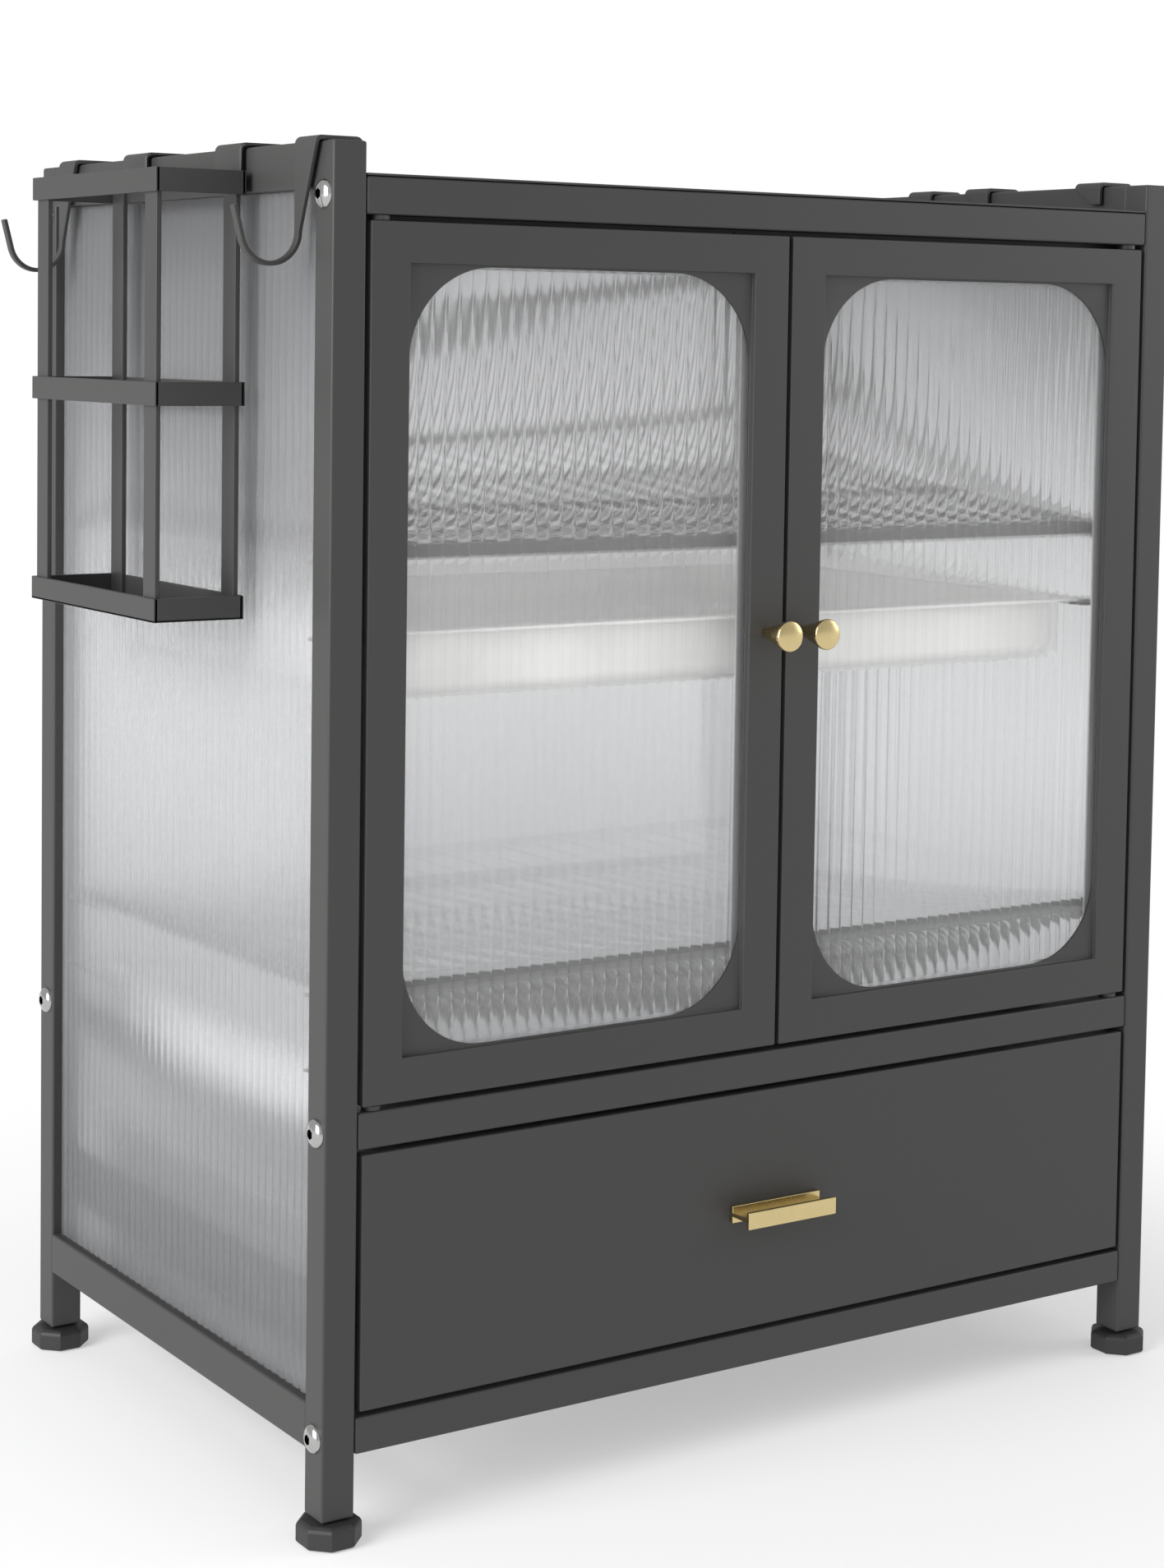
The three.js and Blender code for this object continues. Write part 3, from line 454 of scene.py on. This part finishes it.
def reeded_plastic(name, colour, flank_painted_shade, milk, clearness, blur):
    """Clear plastic; the steep flanks of its reeds let less light through than their flat crests, and their
    colour is darker there as painted shade.
    """
    material, board = new_finish(name)
    place = board.add("ShaderNodeTexCoord", output="Object")
    drawn = board.add("ShaderNodeMapping", {"Vector": place, "Scale": streak_stretch}, vector_type="POINT")
    cloud = board.noise(place, scale=6.0, detail=2.0)
    streak = board.noise(drawn, scale=1.0, detail=2.0)
    facing = board.add("ShaderNodeSeparateXYZ", {0: board.add("ShaderNodeNewGeometry", output="Normal")})
    flatness = board.maths("MAXIMUM", abs(facing), abs(facing.sibling(1))) ** crest_sharpness
    shade = board.add("ShaderNodeLightPath", output="Is Shadow Ray")
    streak_least, streak_part, cloud_part, uneven = 0.9, 0.2, 0.3, 0.04
    seen_through = clearness * flatness * (streak_least + streak_part * streak)
    # Painted shade: the colour darkens on the steep reed flanks and lightens on the flat crests, mixed with
    # random cloud in the tone.
    reed_painted_shade_and_cloud = flatness * (1 - cloud_part + cloud_part * cloud)
    board.principled({
        "Base Color": board.two_tones(reed_painted_shade_and_cloud, colour, darker=flank_painted_shade, lighter=1.06),
        "Roughness": blur + uneven * streak, "IOR": 1.14, "Transmission Weight": 1 - milk,
        "Alpha": (1 - seen_through) * (1 - shade_eased * shade),
        "Normal": board.bump(streak, strength=0.06, distance=0.0003)})
    return material


side_plastic = reeded_plastic("side_reeded_plastic", (0.68, 0.687, 0.698), flank_painted_shade=0.76, milk=0.17,
                              clearness=0.2, blur=0.24)
door_plastic = reeded_plastic("door_reeded_plastic", (0.965, 0.97, 0.975), flank_painted_shade=0.80, milk=0.11,
                              clearness=0.5, blur=0.06)


def shape_board(name, sizes):
    """A board for Geometry Nodes, with the mesh it starts from and its sizes as wires by name."""
    board = Board(bpy.data.node_groups.new(name, "GeometryNodeTree"))
    board.tree.interface.new_socket("Start", in_out="INPUT", socket_type="NodeSocketGeometry")
    board.tree.interface.new_socket("Shape", in_out="OUTPUT", socket_type="NodeSocketGeometry")
    for size in sizes:
        board.tree.interface.new_socket(size, in_out="INPUT", socket_type="NodeSocketFloat")
    entry = board.tree.nodes.new("NodeGroupInput")
    return board, {key: Wire(board, entry.outputs[key]) for key in ["Start", *sizes]}


def close_shape(board, geometry, finish):
    """Ends a shape's board: real geometry with this finish."""
    solid = board.add("GeometryNodeRealizeInstances", {0: geometry})
    coated = board.add("GeometryNodeSetMaterial", {"Geometry": solid, "Material": finish})
    board.tree.links.new(coated.socket, board.tree.nodes.new("NodeGroupOutput").inputs[0])


def grown(name, board, sizes, start=None):
    """Runs a shape's board with these sizes and returns the result as a plain mesh object."""
    carrier = plain_object(name + "_start", start or bpy.data.meshes.new(name + "_start"))
    modifier = carrier.modifiers.new("shape", "NODES")
    modifier.node_group = board.tree
    for item in board.tree.interface.items_tree:
        if item.in_out == "INPUT" and item.name in sizes:
            modifier[item.identifier] = float(sizes[item.name])
    graph = bpy.context.evaluated_depsgraph_get()
    mesh = bpy.data.meshes.new_from_object(carrier.evaluated_get(graph))
    bpy.data.objects.remove(carrier)
    mesh.name = name
    return plain_object(name, mesh)


def transformed(board, shape, **changes):
    return board.add("GeometryNodeTransform", {"Geometry": shape, **changes})


def reeded_sheet_board(finish):
    """A slab with a row of round reeds on its front, turned about its upright axis and set in place."""
    board, given = shape_board("reeded_sheet", [
        "Width", "Height", "Thickness", "Reeds", "Reed depth", "Turn", "Middle X", "Middle Y", "Middle Z"])
    slab = board.add("GeometryNodeMeshCube", {
        "Size": board.xyz(given["Width"], given["Thickness"], given["Height"]),
        "Vertices X": given["Reeds"] * reed_steps + 1, "Vertices Y": 2, "Vertices Z": 2}, output="Mesh")
    across = board.add("ShaderNodeSeparateXYZ", {0: board.add("GeometryNodeInputPosition")})
    wave = abs(board.maths("SINE", (across / given["Width"] + 0.5) * given["Reeds"] * math.pi))
    front = board.maths("LESS_THAN", across.sibling(1), 0.0)
    lift = front * (1 - wave ** reed_roundness) * given["Reed depth"]
    reeded = board.add("GeometryNodeSetPosition", {"Geometry": slab, "Offset": board.xyz(y=lift)})
    placed = transformed(board, reeded, Rotation=board.xyz(z=given["Turn"]),
                         Translation=board.xyz(given["Middle X"], given["Middle Y"], given["Middle Z"]))
    close_shape(board, board.add("GeometryNodeSetShadeSmooth", {0: placed}), finish)
    return board


side_sheet = reeded_sheet_board(side_plastic)
door_sheet = reeded_sheet_board(door_plastic)
for node, board, turn, body in (
        ("left_side_panel", side_sheet, -90, "cabinet"), ("right_side_panel", side_sheet, 90, "cabinet"),
        ("upper_back_panel", side_sheet, 180, "cabinet"), ("lower_back_panel", side_sheet, 180, "cabinet"),
        ("left_door_pane", door_sheet, 0, "left_door"), ("right_door_pane", door_sheet, 0, "right_door")):
    low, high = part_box(node)
    size, middle = high - low, (high + low) / 2
    width, thickness = (size.y, size.x) if abs(turn) == 90 else (size.x, size.y)
    reeded_piece = grown(node.replace("panel", "sheet").replace("pane", "glass"), board, {
        "Width": width, "Height": size.z, "Thickness": thickness, "Reeds": round(width / reed_pitch),
        "Reed depth": reed_depth, "Turn": math.radians(turn),
        "Middle X": middle.x, "Middle Y": middle.y, "Middle Z": middle.z})
    dressed(reeded_piece, body, "reeded_sheet", node)


# The frame bolts: ten dome-headed screws with a six-sided socket, in bright chrome. One passes through each
# post into the end of each cross rail, except at the rear bottom rail, which sits on pegs.
def polished_metal(name, colour, roughness, grain, stretch=(1, 1, 1), painted_shade_attribute=None):
    """Metal with a fine grain, stretched along its brushing; faces with the attribute are painted near black
    as shade.
    """
    material, board = new_finish(name)
    place = board.add("ShaderNodeTexCoord", output="Object")
    drawn = board.add("ShaderNodeMapping", {"Vector": place, "Scale": stretch}, vector_type="POINT")
    brushed = board.noise(drawn, scale=grain, detail=3.0)
    cloud = board.noise(place, scale=60.0, detail=2.0)
    uneven = 0.12
    tone = board.two_tones(cloud, colour, darker=0.9, lighter=1.08)
    if painted_shade_attribute:
        painted_shade_mask = board.add("ShaderNodeAttribute", output="Fac", attribute_name=painted_shade_attribute)
        # Painted shade: faces marked with the attribute turn near black.
        tone = board.mixed_colour(painted_shade_mask, tone, grey(0.03))
    board.principled({
        "Base Color": tone, "Metallic": 1.0, "Roughness": roughness + uneven * brushed,
        "Normal": board.bump(brushed, strength=0.06, distance=0.0002)})
    return material


chrome = polished_metal("bolt_chrome", (0.48, 0.48, 0.475), roughness=0.12, grain=500.0,
                        painted_shade_attribute="socket_wall")


def cylinder(board, sides, radius, length):
    return board.add("GeometryNodeMeshCylinder", {"Vertices": sides, "Radius": radius, "Depth": length},
                     output="Mesh")


def joined(board, *parts):
    joint = board.tree.nodes.new("GeometryNodeJoinGeometry")
    for part in parts:
        board.tree.links.new(part.socket, joint.inputs[0])
    return Wire(board, joint.outputs[0])


def cut(board, operation, *parts):
    """A mesh boolean of (socket name, shape) pairs."""
    boolean = board.tree.nodes.new("GeometryNodeMeshBoolean")
    boolean.operation = operation
    for socket, part in parts:
        board.tree.links.new(part.socket, boolean.inputs[socket])
    return Wire(board, boolean.outputs["Mesh"])


def bolt_heads_board(finish):
    """A bolt at each vertex of the mesh it starts from, with its head turned away from the cabinet."""
    board, given = shape_board("bolt_heads", [
        "Head radius", "Head height", "Socket radius", "Socket depth", "Shank radius", "Shank length"])
    ball = board.add("GeometryNodeMeshUVSphere", {
        "Segments": 32, "Rings": 20, "Radius": given["Head radius"]}, output="Mesh")
    squat = transformed(board, ball, Scale=board.xyz(1.0, 1.0, given["Head height"] / given["Head radius"]))
    block = board.add("GeometryNodeMeshCube", {"Size": board.xyz(
        given["Head radius"] * 4, given["Head radius"] * 4, given["Head height"] * 2)}, output="Mesh")
    above = transformed(board, block, Translation=board.xyz(z=given["Head height"]))
    dome = cut(board, "INTERSECT", ("Mesh", squat), ("Mesh", above))
    key = cylinder(board, key_sides, given["Socket radius"], given["Socket depth"] * 2)
    sunk = transformed(board, key, Translation=board.xyz(z=given["Head height"]))
    head = cut(board, "DIFFERENCE", ("Mesh 1", dome), ("Mesh 2", sunk))
    flat = board.add("ShaderNodeVectorMath", {0: board.add("GeometryNodeInputPosition"), 1: (1, 1, 0)},
                     operation="MULTIPLY")
    off_axis = board.add("ShaderNodeVectorMath", {0: flat}, output="Value", operation="LENGTH")
    # Faces inside the socket are marked, so that the chrome paints them near black as painted shade in the
    # recess.
    in_socket = board.maths("LESS_THAN", off_axis, given["Socket radius"] * socket_margin)
    marked = board.add("GeometryNodeStoreNamedAttribute", {
        "Geometry": head, "Name": "socket_wall", "Value": in_socket}, data_type="FLOAT", domain="FACE")
    shank = transformed(board, cylinder(board, shank_sides, given["Shank radius"], given["Shank length"]),
                        Translation=board.xyz(z=given["Shank length"] * -0.5 + shank_overlap))
    spot = board.add("ShaderNodeSeparateXYZ", {0: board.add("GeometryNodeInputPosition")})
    outward = board.add("FunctionNodeAlignRotationToVector", {"Vector": board.xyz(board.maths("SIGN", spot))},
                        axis="Z")
    set_out = board.add("GeometryNodeInstanceOnPoints", {
        "Points": given["Start"], "Instance": joined(board, marked, shank), "Rotation": outward})
    close_shape(board, set_out, finish)
    return board


head_height, head_radius, socket_radius, socket_depth = 0.004, 0.008, 0.0030, 0.0018
shank_radius, shank_length, shank_overlap, socket_margin = 0.003, 0.024, 0.0005, 1.02
key_sides, shank_sides, smooth_under = 6, 16, math.radians(35)
bolt_nodes = [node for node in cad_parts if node.startswith("bolt_")]
seats = []
for node in bolt_nodes:
    low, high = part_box(node)
    seat = low.x + head_height if low.x < 0 else high.x - head_height
    seats.append((seat, (low.y + high.y) / 2, (low.z + high.z) / 2))
places = bpy.data.meshes.new("bolt_places")
places.from_pydata(seats, [], [])
bolts = grown("frame_bolts", bolt_heads_board(chrome), {
    "Head radius": head_radius, "Head height": head_height, "Socket radius": socket_radius,
    "Socket depth": socket_depth, "Shank radius": shank_radius, "Shank length": shank_length}, places)
bolts.data.shade_smooth()
bolts.data.set_sharp_from_angle(angle=smooth_under)
dressed(bolts, "cabinet", "chrome_bolt", *bolt_nodes)


# The levelling feet: moulded black plastic, an eight-sided flange to turn by hand round a stem that screws
# up into the post.
def moulded_plastic(name, colour, roughness, grain):
    """Plastic with a fine leather grain from its mould."""
    material, board = new_finish(name)
    place = board.add("ShaderNodeTexCoord", output="Object")
    leather = board.add("ShaderNodeTexVoronoi", {"Vector": place, "Scale": grain})
    cloud = board.noise(place, scale=25.0, detail=3.0)
    uneven = 0.1
    board.principled({
        "Base Color": board.two_tones(cloud, colour, darker=0.88, lighter=1.1),
        "Roughness": roughness + uneven * cloud,
        "Normal": board.bump(leather, strength=0.12, distance=0.0002)})
    return material


foot_plastic = moulded_plastic("foot_black_plastic", (0.022, 0.022, 0.023), roughness=0.5, grain=900.0)


def turned(form, profile, sides, placing, phase=0.0):
    """Adds a turned body to form from (radius, height) pairs, lowest first, closed on its axis."""
    rings = []
    for radius, height in profile:
        if radius == 0:
            rings.append([form.verts.new(placing @ Vector((0, 0, height)))])
            continue
        angles = [phase + 2 * math.pi * i / sides for i in range(sides)]
        circle = [(radius * math.cos(angle), radius * math.sin(angle), height) for angle in angles]
        rings.append([form.verts.new(placing @ Vector(point)) for point in circle])
    for lower, upper in zip(rings, rings[1:]):
        for i in range(sides):
            j = (i + 1) % sides
            if len(lower) == 1:
                form.faces.new((lower[0], upper[j], upper[i]))
            elif len(upper) == 1:
                form.faces.new((lower[i], lower[j], upper[0]))
            else:
                form.faces.new((lower[i], lower[j], upper[j], upper[i]))


# Outlines to turn are (radius, height) pairs from the lower end up.
flange_sides, stem_sides, small_rounding = 8, 24, 0.0005
flange = [(0, 0), (0.0168, 0), (0.018, 0.0012), (0.018, 0.0098), (0.0172, 0.0114), (0.0150, 0.0127),
          (0.0095, 0.0131), (0.0078, 0.0136), (0, 0.0137)]
stem = [(0, 0.010), (0.004, 0.010), (0.004, 0.0355), (0.0035, 0.036), (0, 0.036)]
for end in ("front", "rear"):
    for side in ("left", "right"):
        node = f"foot_{end}_{side}"
        low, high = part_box(node)
        placing = Matrix.Translation(((low.x + high.x) / 2, (low.y + high.y) / 2, low.z))
        form = bmesh.new()
        turned(form, flange, flange_sides, placing, math.pi / flange_sides)
        bmesh.ops.dissolve_limit(form, angle_limit=math.radians(1), verts=form.verts, edges=form.edges)
        bmesh.ops.bevel(form, geom=list(form.edges), offset=small_rounding, segments=2, profile=0.5,
                        affect="EDGES", clamp_overlap=True)
        turned(form, stem, stem_sides, placing)
        dressed(from_bmesh(f"{end}_{side}_foot", form, foot_plastic), node, "black_plastic", node)


# The two racks: steel wires from front to back on a flat-bar rim with two stays under them, welded and
# coated like the tubes but smoother. They rest on the lugs of the side frames.
rack_coat = powder_coat("rack_coat", (0.050, 0.050, 0.0495), grain=1600.0, roughness=0.36)


def rack_wires_board(finish):
    """A row of wires and two stays across them, added to the rim that the shape starts from."""
    board, given = shape_board("rack_wires", [
        "Half width", "Length", "Wires", "Wire radius", "Stay radius", "Stay spacing", "Middle X", "Middle Y",
        "Wire level", "Stay level"])
    edge = given["Half width"] - 2 * given["Half width"] / (given["Wires"] + 1)
    row = board.add("GeometryNodeMeshLine", {
        "Count": given["Wires"], "Offset": board.xyz(edge * 2 / (given["Wires"] - 1)),
        "Start Location": board.xyz(given["Middle X"] - edge, given["Middle Y"], given["Wire level"])},
        mode="OFFSET")
    wires = board.add("GeometryNodeInstanceOnPoints", {
        "Points": row, "Rotation": (math.pi / 2, 0, 0),
        "Instance": cylinder(board, wire_sides, given["Wire radius"], given["Length"])})
    pair = board.add("GeometryNodeMeshLine", {
        "Count": 2, "Offset": board.xyz(y=given["Stay spacing"]),
        "Start Location": board.xyz(given["Middle X"], given["Middle Y"] - given["Stay spacing"] / 2,
                                    given["Stay level"])}, mode="OFFSET")
    stays = board.add("GeometryNodeInstanceOnPoints", {
        "Points": pair, "Rotation": (0, math.pi / 2, 0),
        "Instance": cylinder(board, wire_sides, given["Stay radius"], given["Half width"] * 2)})
    grid = board.add("GeometryNodeRealizeInstances", {0: joined(board, wires, stays)})
    smooth = board.add("GeometryNodeSetShadeSmooth", {0: grid})
    close_shape(board, joined(board, smooth, given["Start"]), finish)
    return board


rim_bar, rim_rounding, wire_pitch, wire_sides = 0.003, 0.0007, 0.025, 16
wire_radius, wire_drop, stay_radius, stay_drop, stay_share = 0.0015, 0.003, 0.002, 0.00575, 0.4
rack_board = rack_wires_board(rack_coat)
for level in ("upper", "lower"):
    low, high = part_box(f"{level}_rack")
    form = bmesh.new()
    add_bars(form, [(low, (high.x, low.y + rim_bar, high.z)), ((low.x, high.y - rim_bar, low.z), high)]
             + [((x, low.y + rim_bar / 2, low.z), (x + rim_bar, high.y - rim_bar / 2, high.z))
                for x in (low.x, high.x - rim_bar)], rim_rounding)
    rim_mesh = bpy.data.meshes.new(f"{level}_rack_rim")
    form.to_mesh(rim_mesh)
    form.free()
    half_width, length = (high.x - low.x) / 2 - rim_bar, high.y - low.y - 2 * rim_bar
    rack = grown(f"{level}_wire_rack", rack_board, {
        "Half width": half_width, "Length": length + rim_bar, "Wires": round(2 * half_width / wire_pitch) - 1,
        "Wire radius": wire_radius, "Stay radius": stay_radius, "Stay spacing": length * stay_share,
        "Middle X": (low.x + high.x) / 2, "Middle Y": (low.y + high.y) / 2,
        "Wire level": high.z - wire_drop, "Stay level": high.z - stay_drop}, rim_mesh)
    dressed(rack, "cabinet", "frame_coat", f"{level}_rack")


# The drip trays: white moulded plastic, shallow, with round corners, a soft inner fillet and a flat rim
# that rests on lugs at the posts.
tray_plastic = moulded_plastic("tray_white_plastic", (0.72, 0.72, 0.71), roughness=0.32, grain=500.0)
rim, tray_corner, least_corner, tray_corner_steps = 0.008, 0.022, 0.004, 8
rim_edge, brim_edge, corner_loss = 0.0006, 0.0008, 0.6
# How far the fillets between floor and wall reach across and up, in their middle and in full.
outer_middle, outer_fillet = (0.004, 0.0022), (0.014, 0.010)
inner_middle, inner_fillet = (0.003, 0.0045), (0.012, 0.012)
for level in ("upper", "lower"):
    low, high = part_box(f"{level}_drip_tray")
    inner = rim + tray_wall
    outside_stations = [(rim + outer_fillet[0], low.z),
                        (rim + outer_middle[0], low.z + outer_middle[1]),
                        (rim, low.z + outer_fillet[1]), (rim, high.z - tray_wall)]
    rim_stations = [(rim_edge, high.z - tray_wall), (0, high.z - tray_wall + rim_edge),
                    (0, high.z - rim_edge), (rim_edge, high.z),
                    (inner - brim_edge, high.z), (inner, high.z - brim_edge)]
    inside_stations = [(inner, low.z + inner_fillet[1]),
                       (inner + inner_middle[0], low.z + inner_middle[1]),
                       (inner + inner_fillet[0], low.z + tray_wall)]
    form = bmesh.new()
    rings = []
    for inset, height in outside_stations + rim_stations + inside_stations:
        share = min(inset / rim, 1)
        shrunk = rim * (1 - share) + tray_corner * share - max(inset - rim, 0) * corner_loss
        rings.append(ring_of(form, lambda a, b: (a, b, height), (low.x + inset, low.y + inset),
                             (high.x - inset, high.y - inset), max(shrunk, least_corner), tray_corner_steps))
    lofted(form, rings, False)
    dressed(from_bmesh(f"{level}_tray", form, tray_plastic), "cabinet", "tray_white", f"{level}_drip_tray")


# The knobs and the drawer pull: turned and milled brass with a satin polish. A stud from each passes
# through the sheet behind it.
brass = polished_metal("satin_brass", (0.64, 0.515, 0.265), roughness=0.2, grain=700.0)
knob_sides, stud_end = 48, 0.006
knob = [(0, -stud_end), (0.002, -stud_end), (0.002, 0.0003), (0.0027, 0.0003), (0.0030, 0.0006),
        (0.0088, 0.0212), (0.0090, 0.0220), (0.0090, 0.0228), (0.0087, 0.0235), (0.0080, 0.0240),
        (0.0050, 0.0247), (0, 0.0250)]
to_front = Matrix.Rotation(math.pi / 2, 4, "X")
for side in ("left", "right"):
    low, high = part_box(f"{side}_door_knob")
    placing = Matrix.Translation(((low.x + high.x) / 2, high.y - stud_end, (low.z + high.z) / 2))
    form = bmesh.new()
    turned(form, knob, knob_sides, placing @ to_front)
    dressed(from_bmesh(f"{side}_knob", form, brass), f"{side}_door", "brass", f"{side}_door_knob")

pull_flange, web, stud_spacing, stud_radius, stud_sides = 0.0025, 0.0025, 0.032, 0.002, 16
low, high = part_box("drawer_pull")
foot_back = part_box("drawer_front")[0].y - seat_gap
web_middle, stud_reach = (low.z + high.z) / 2, high.y - foot_back + pull_flange / 2
form = bmesh.new()
add_bars(form, [(low, (high.x, low.y + pull_flange, high.z)),
                ((low.x, foot_back - pull_flange, low.z), (high.x, foot_back, high.z)),
                ((low.x, low.y + pull_flange / 2, web_middle - web / 2),
                 (high.x, foot_back - pull_flange / 2, web_middle + web / 2))], small_rounding, 3)
for x in ((low.x + high.x - stud_spacing) / 2, (low.x + high.x + stud_spacing) / 2):
    turned(form, [(0, 0), (stud_radius, 0), (stud_radius, stud_reach), (0, stud_reach)], stud_sides,
           Matrix.Translation((x, high.y, web_middle)) @ to_front)
dressed(from_bmesh("pull_bar", form, brass), "drawer", "brass", "drawer_pull")


# The hang-on pieces: six hooks cut and bent from sheet, each a wide saddle that narrows to a J, and the
# knife basket of flat bar. They are coated like the frame, rest on the side rails and lift off.
def sheet_along(form, stations, thickness, edge, sign):
    """Adds a sheet bent along (x, z) points; from its straight edge it is as wide as each station says."""
    loops = []
    line = [point for point, width in stations]
    for i, (point, width) in enumerate(stations):
        before, after = line[max(i - 1, 0)], line[min(i + 1, len(line) - 1)]
        into = (point - before).normalized() if i else (after - point).normalized()
        out = (after - point).normalized() if i < len(line) - 1 else into
        mitre = Vector((-into.y - out.y, into.x + out.x)) * (thickness / 2 / (1 + into.dot(out)))
        start, stop = sorted((edge, edge + sign * width))
        loops.append([form.verts.new((corner.x, y, corner.y)) for corner, y in (
            (point + mitre, start), (point - mitre, start), (point - mitre, stop), (point + mitre, stop))])
    lofted(form, loops, False)


def saddle(inside, outside, top, sign, bend=0.0028, steps=4):
    """The middle line of a sheet over a side rail, round its inner and its outer bend."""
    angles = [math.pi / 2 * i / steps for i in range(steps + 1)]
    rise = [Vector((inside + sign * bend * (1 - math.cos(angle)), top - bend + bend * math.sin(angle)))
            for angle in angles]
    fall = [Vector((outside - sign * bend * (1 - math.sin(angle)), top - bend + bend * math.cos(angle)))
            for angle in angles]
    return rise + fall


def arc_points(centre, radius, sign, sweep, steps=28):
    """Points round the bottom of a J, from its leg outwards."""
    for i in range(1, steps + 1):
        angle = math.pi + sweep * i / steps
        yield centre + Vector((sign * math.cos(angle), math.sin(angle))) * radius


hook_sheet, slack, lip_length, sharp_over = 0.0025, 0.002, 0.013, math.radians(60)
hook_drop, hook_radius, hook_sweep, hook_tip = 0.049, 0.017, math.radians(0.46 * 360), 0.018
tip_width, lip_width, leg_steps = 0.005, 0.008, 10
for node in [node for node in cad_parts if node.endswith("_hook")]:
    low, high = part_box(node)
    sign = -1 if high.x < body_middle.x else 1
    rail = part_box("left_side_frame" if sign < 0 else "right_side_frame")
    edge, full = (high.y, high.y - low.y) if sign < 0 else (low.y, high.y - low.y)
    inside = (high.x if sign < 0 else low.x) + sign * hook_sheet / 2
    outside = (rail[0].x if sign < 0 else rail[1].x) + sign * (slack + hook_sheet / 2)
    top = high.z - hook_sheet / 2
    stations = [(Vector((inside, top - lip_length)), lip_width)]
    stations += [(point, full) for point in saddle(inside, outside, top, sign)]
    leg_top = stations[-1][0]
    for i in range(1, leg_steps + 1):
        stations.append((leg_top + Vector((0, top - hook_drop - leg_top.y)) * (i / leg_steps),
                         full + (tip_width - full) * i / leg_steps))
    centre = Vector((outside + sign * hook_radius, top - hook_drop))
    stations += [(point, tip_width) for point in arc_points(centre, hook_radius, sign, hook_sweep)]
    lean = hook_sweep - math.pi / 2
    stations.append((stations[-1][0] + Vector((sign * math.cos(lean), math.sin(lean))) * hook_tip, tip_width))
    form = bmesh.new()
    sheet_along(form, stations, hook_sheet, edge, sign)
    sharp = [each for each in form.edges if each.calc_face_angle(0) > sharp_over]
    bmesh.ops.bevel(form, geom=sharp, offset=small_rounding, segments=2, profile=0.5, affect="EDGES")
    body = "hook_" + node.replace("_hook", "")
    dressed(from_bmesh(f"{node}_sheet", form, frame_coat), body, "frame_coat", node)

basket_depth, bar_height, bar_thickness, floor_thickness = 0.054, 0.013, 0.0025, 0.0015
upright_width, upright_thickness, upright_inset, weld = 0.015, 0.003, 0.003, 0.0005
strap_width, strap_inset, top_drop, middle_drop = 0.030, 0.008, 0.026, 0.141
low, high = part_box("knife_basket")
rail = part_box("left_side_frame")
back_x, top_bar = low.x + basket_depth, rail[1].z - top_drop
bars = [(low, (back_x, high.y, low.z + floor_thickness))]
for z in (top_bar, rail[1].z - middle_drop, low.z):
    over = z + bar_height
    bars += [((low.x, low.y, z), (low.x + bar_thickness, high.y, over)),
             ((back_x - bar_thickness, low.y, z), (back_x, high.y, over)),
             ((low.x + weld, low.y, z), (back_x - weld, low.y + bar_thickness, over)),
             ((low.x + weld, high.y - bar_thickness, z), (back_x - weld, high.y, over))]
for x in (low.x + bar_thickness - weld, back_x - bar_thickness + weld - upright_thickness):
    for y in (low.y + upright_inset, high.y - upright_inset - upright_width):
        bars.append(((x, y, low.z), (x + upright_thickness, y + upright_width, top_bar + bar_height)))
form = bmesh.new()
add_bars(form, bars, plate_rounding)
inside, outside = high.x - hook_sheet / 2, rail[0].x - slack - hook_sheet / 2
top = high.z - hook_sheet / 2
for edge in (low.y + strap_inset + strap_width, high.y - strap_inset):
    line = [Vector((inside, top - lip_length))] + saddle(inside, outside, top, -1)
    line.append(Vector((outside, top - top_drop)))
    sheet_along(form, [(point, strap_width) for point in line], hook_sheet, edge, -1)
dressed(from_bmesh("basket_frame", form, frame_coat), "basket", "frame_coat", "knife_basket")


# The pieces inside that keep their plain form: the drawer box and its zinc-plated runners, the ring that
# holds each pane, the black plastic hinge bushes and the door catch.
zinc = polished_metal("zinc_plate", (0.62, 0.63, 0.64), roughness=0.34, grain=300.0, stretch=(1, 12, 1))
catch_plastic = moulded_plastic("catch_plastic", (0.03, 0.03, 0.03), roughness=0.45, grain=700.0)
box_coat = powder_coat("drawer_box_coat", (0.155, 0.157, 0.16), grain=1600.0, roughness=0.4)
inside_finishes = {"drawer_box": box_coat, "door_catch": catch_plastic}
for side in ("left", "right"):
    for piece in ("outer_runner", "inner_runner", "pane_retainer"):
        inside_finishes[f"{side}_{piece}"] = zinc
    for piece in ("door_top_bush", "door_bottom_bush"):
        inside_finishes[f"{side}_{piece}"] = catch_plastic
for node, finish in inside_finishes.items():
    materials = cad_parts[node].data.materials
    if not materials:
        materials.append(finish)
    for index in range(len(materials)):
        materials[index] = finish

low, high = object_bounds()
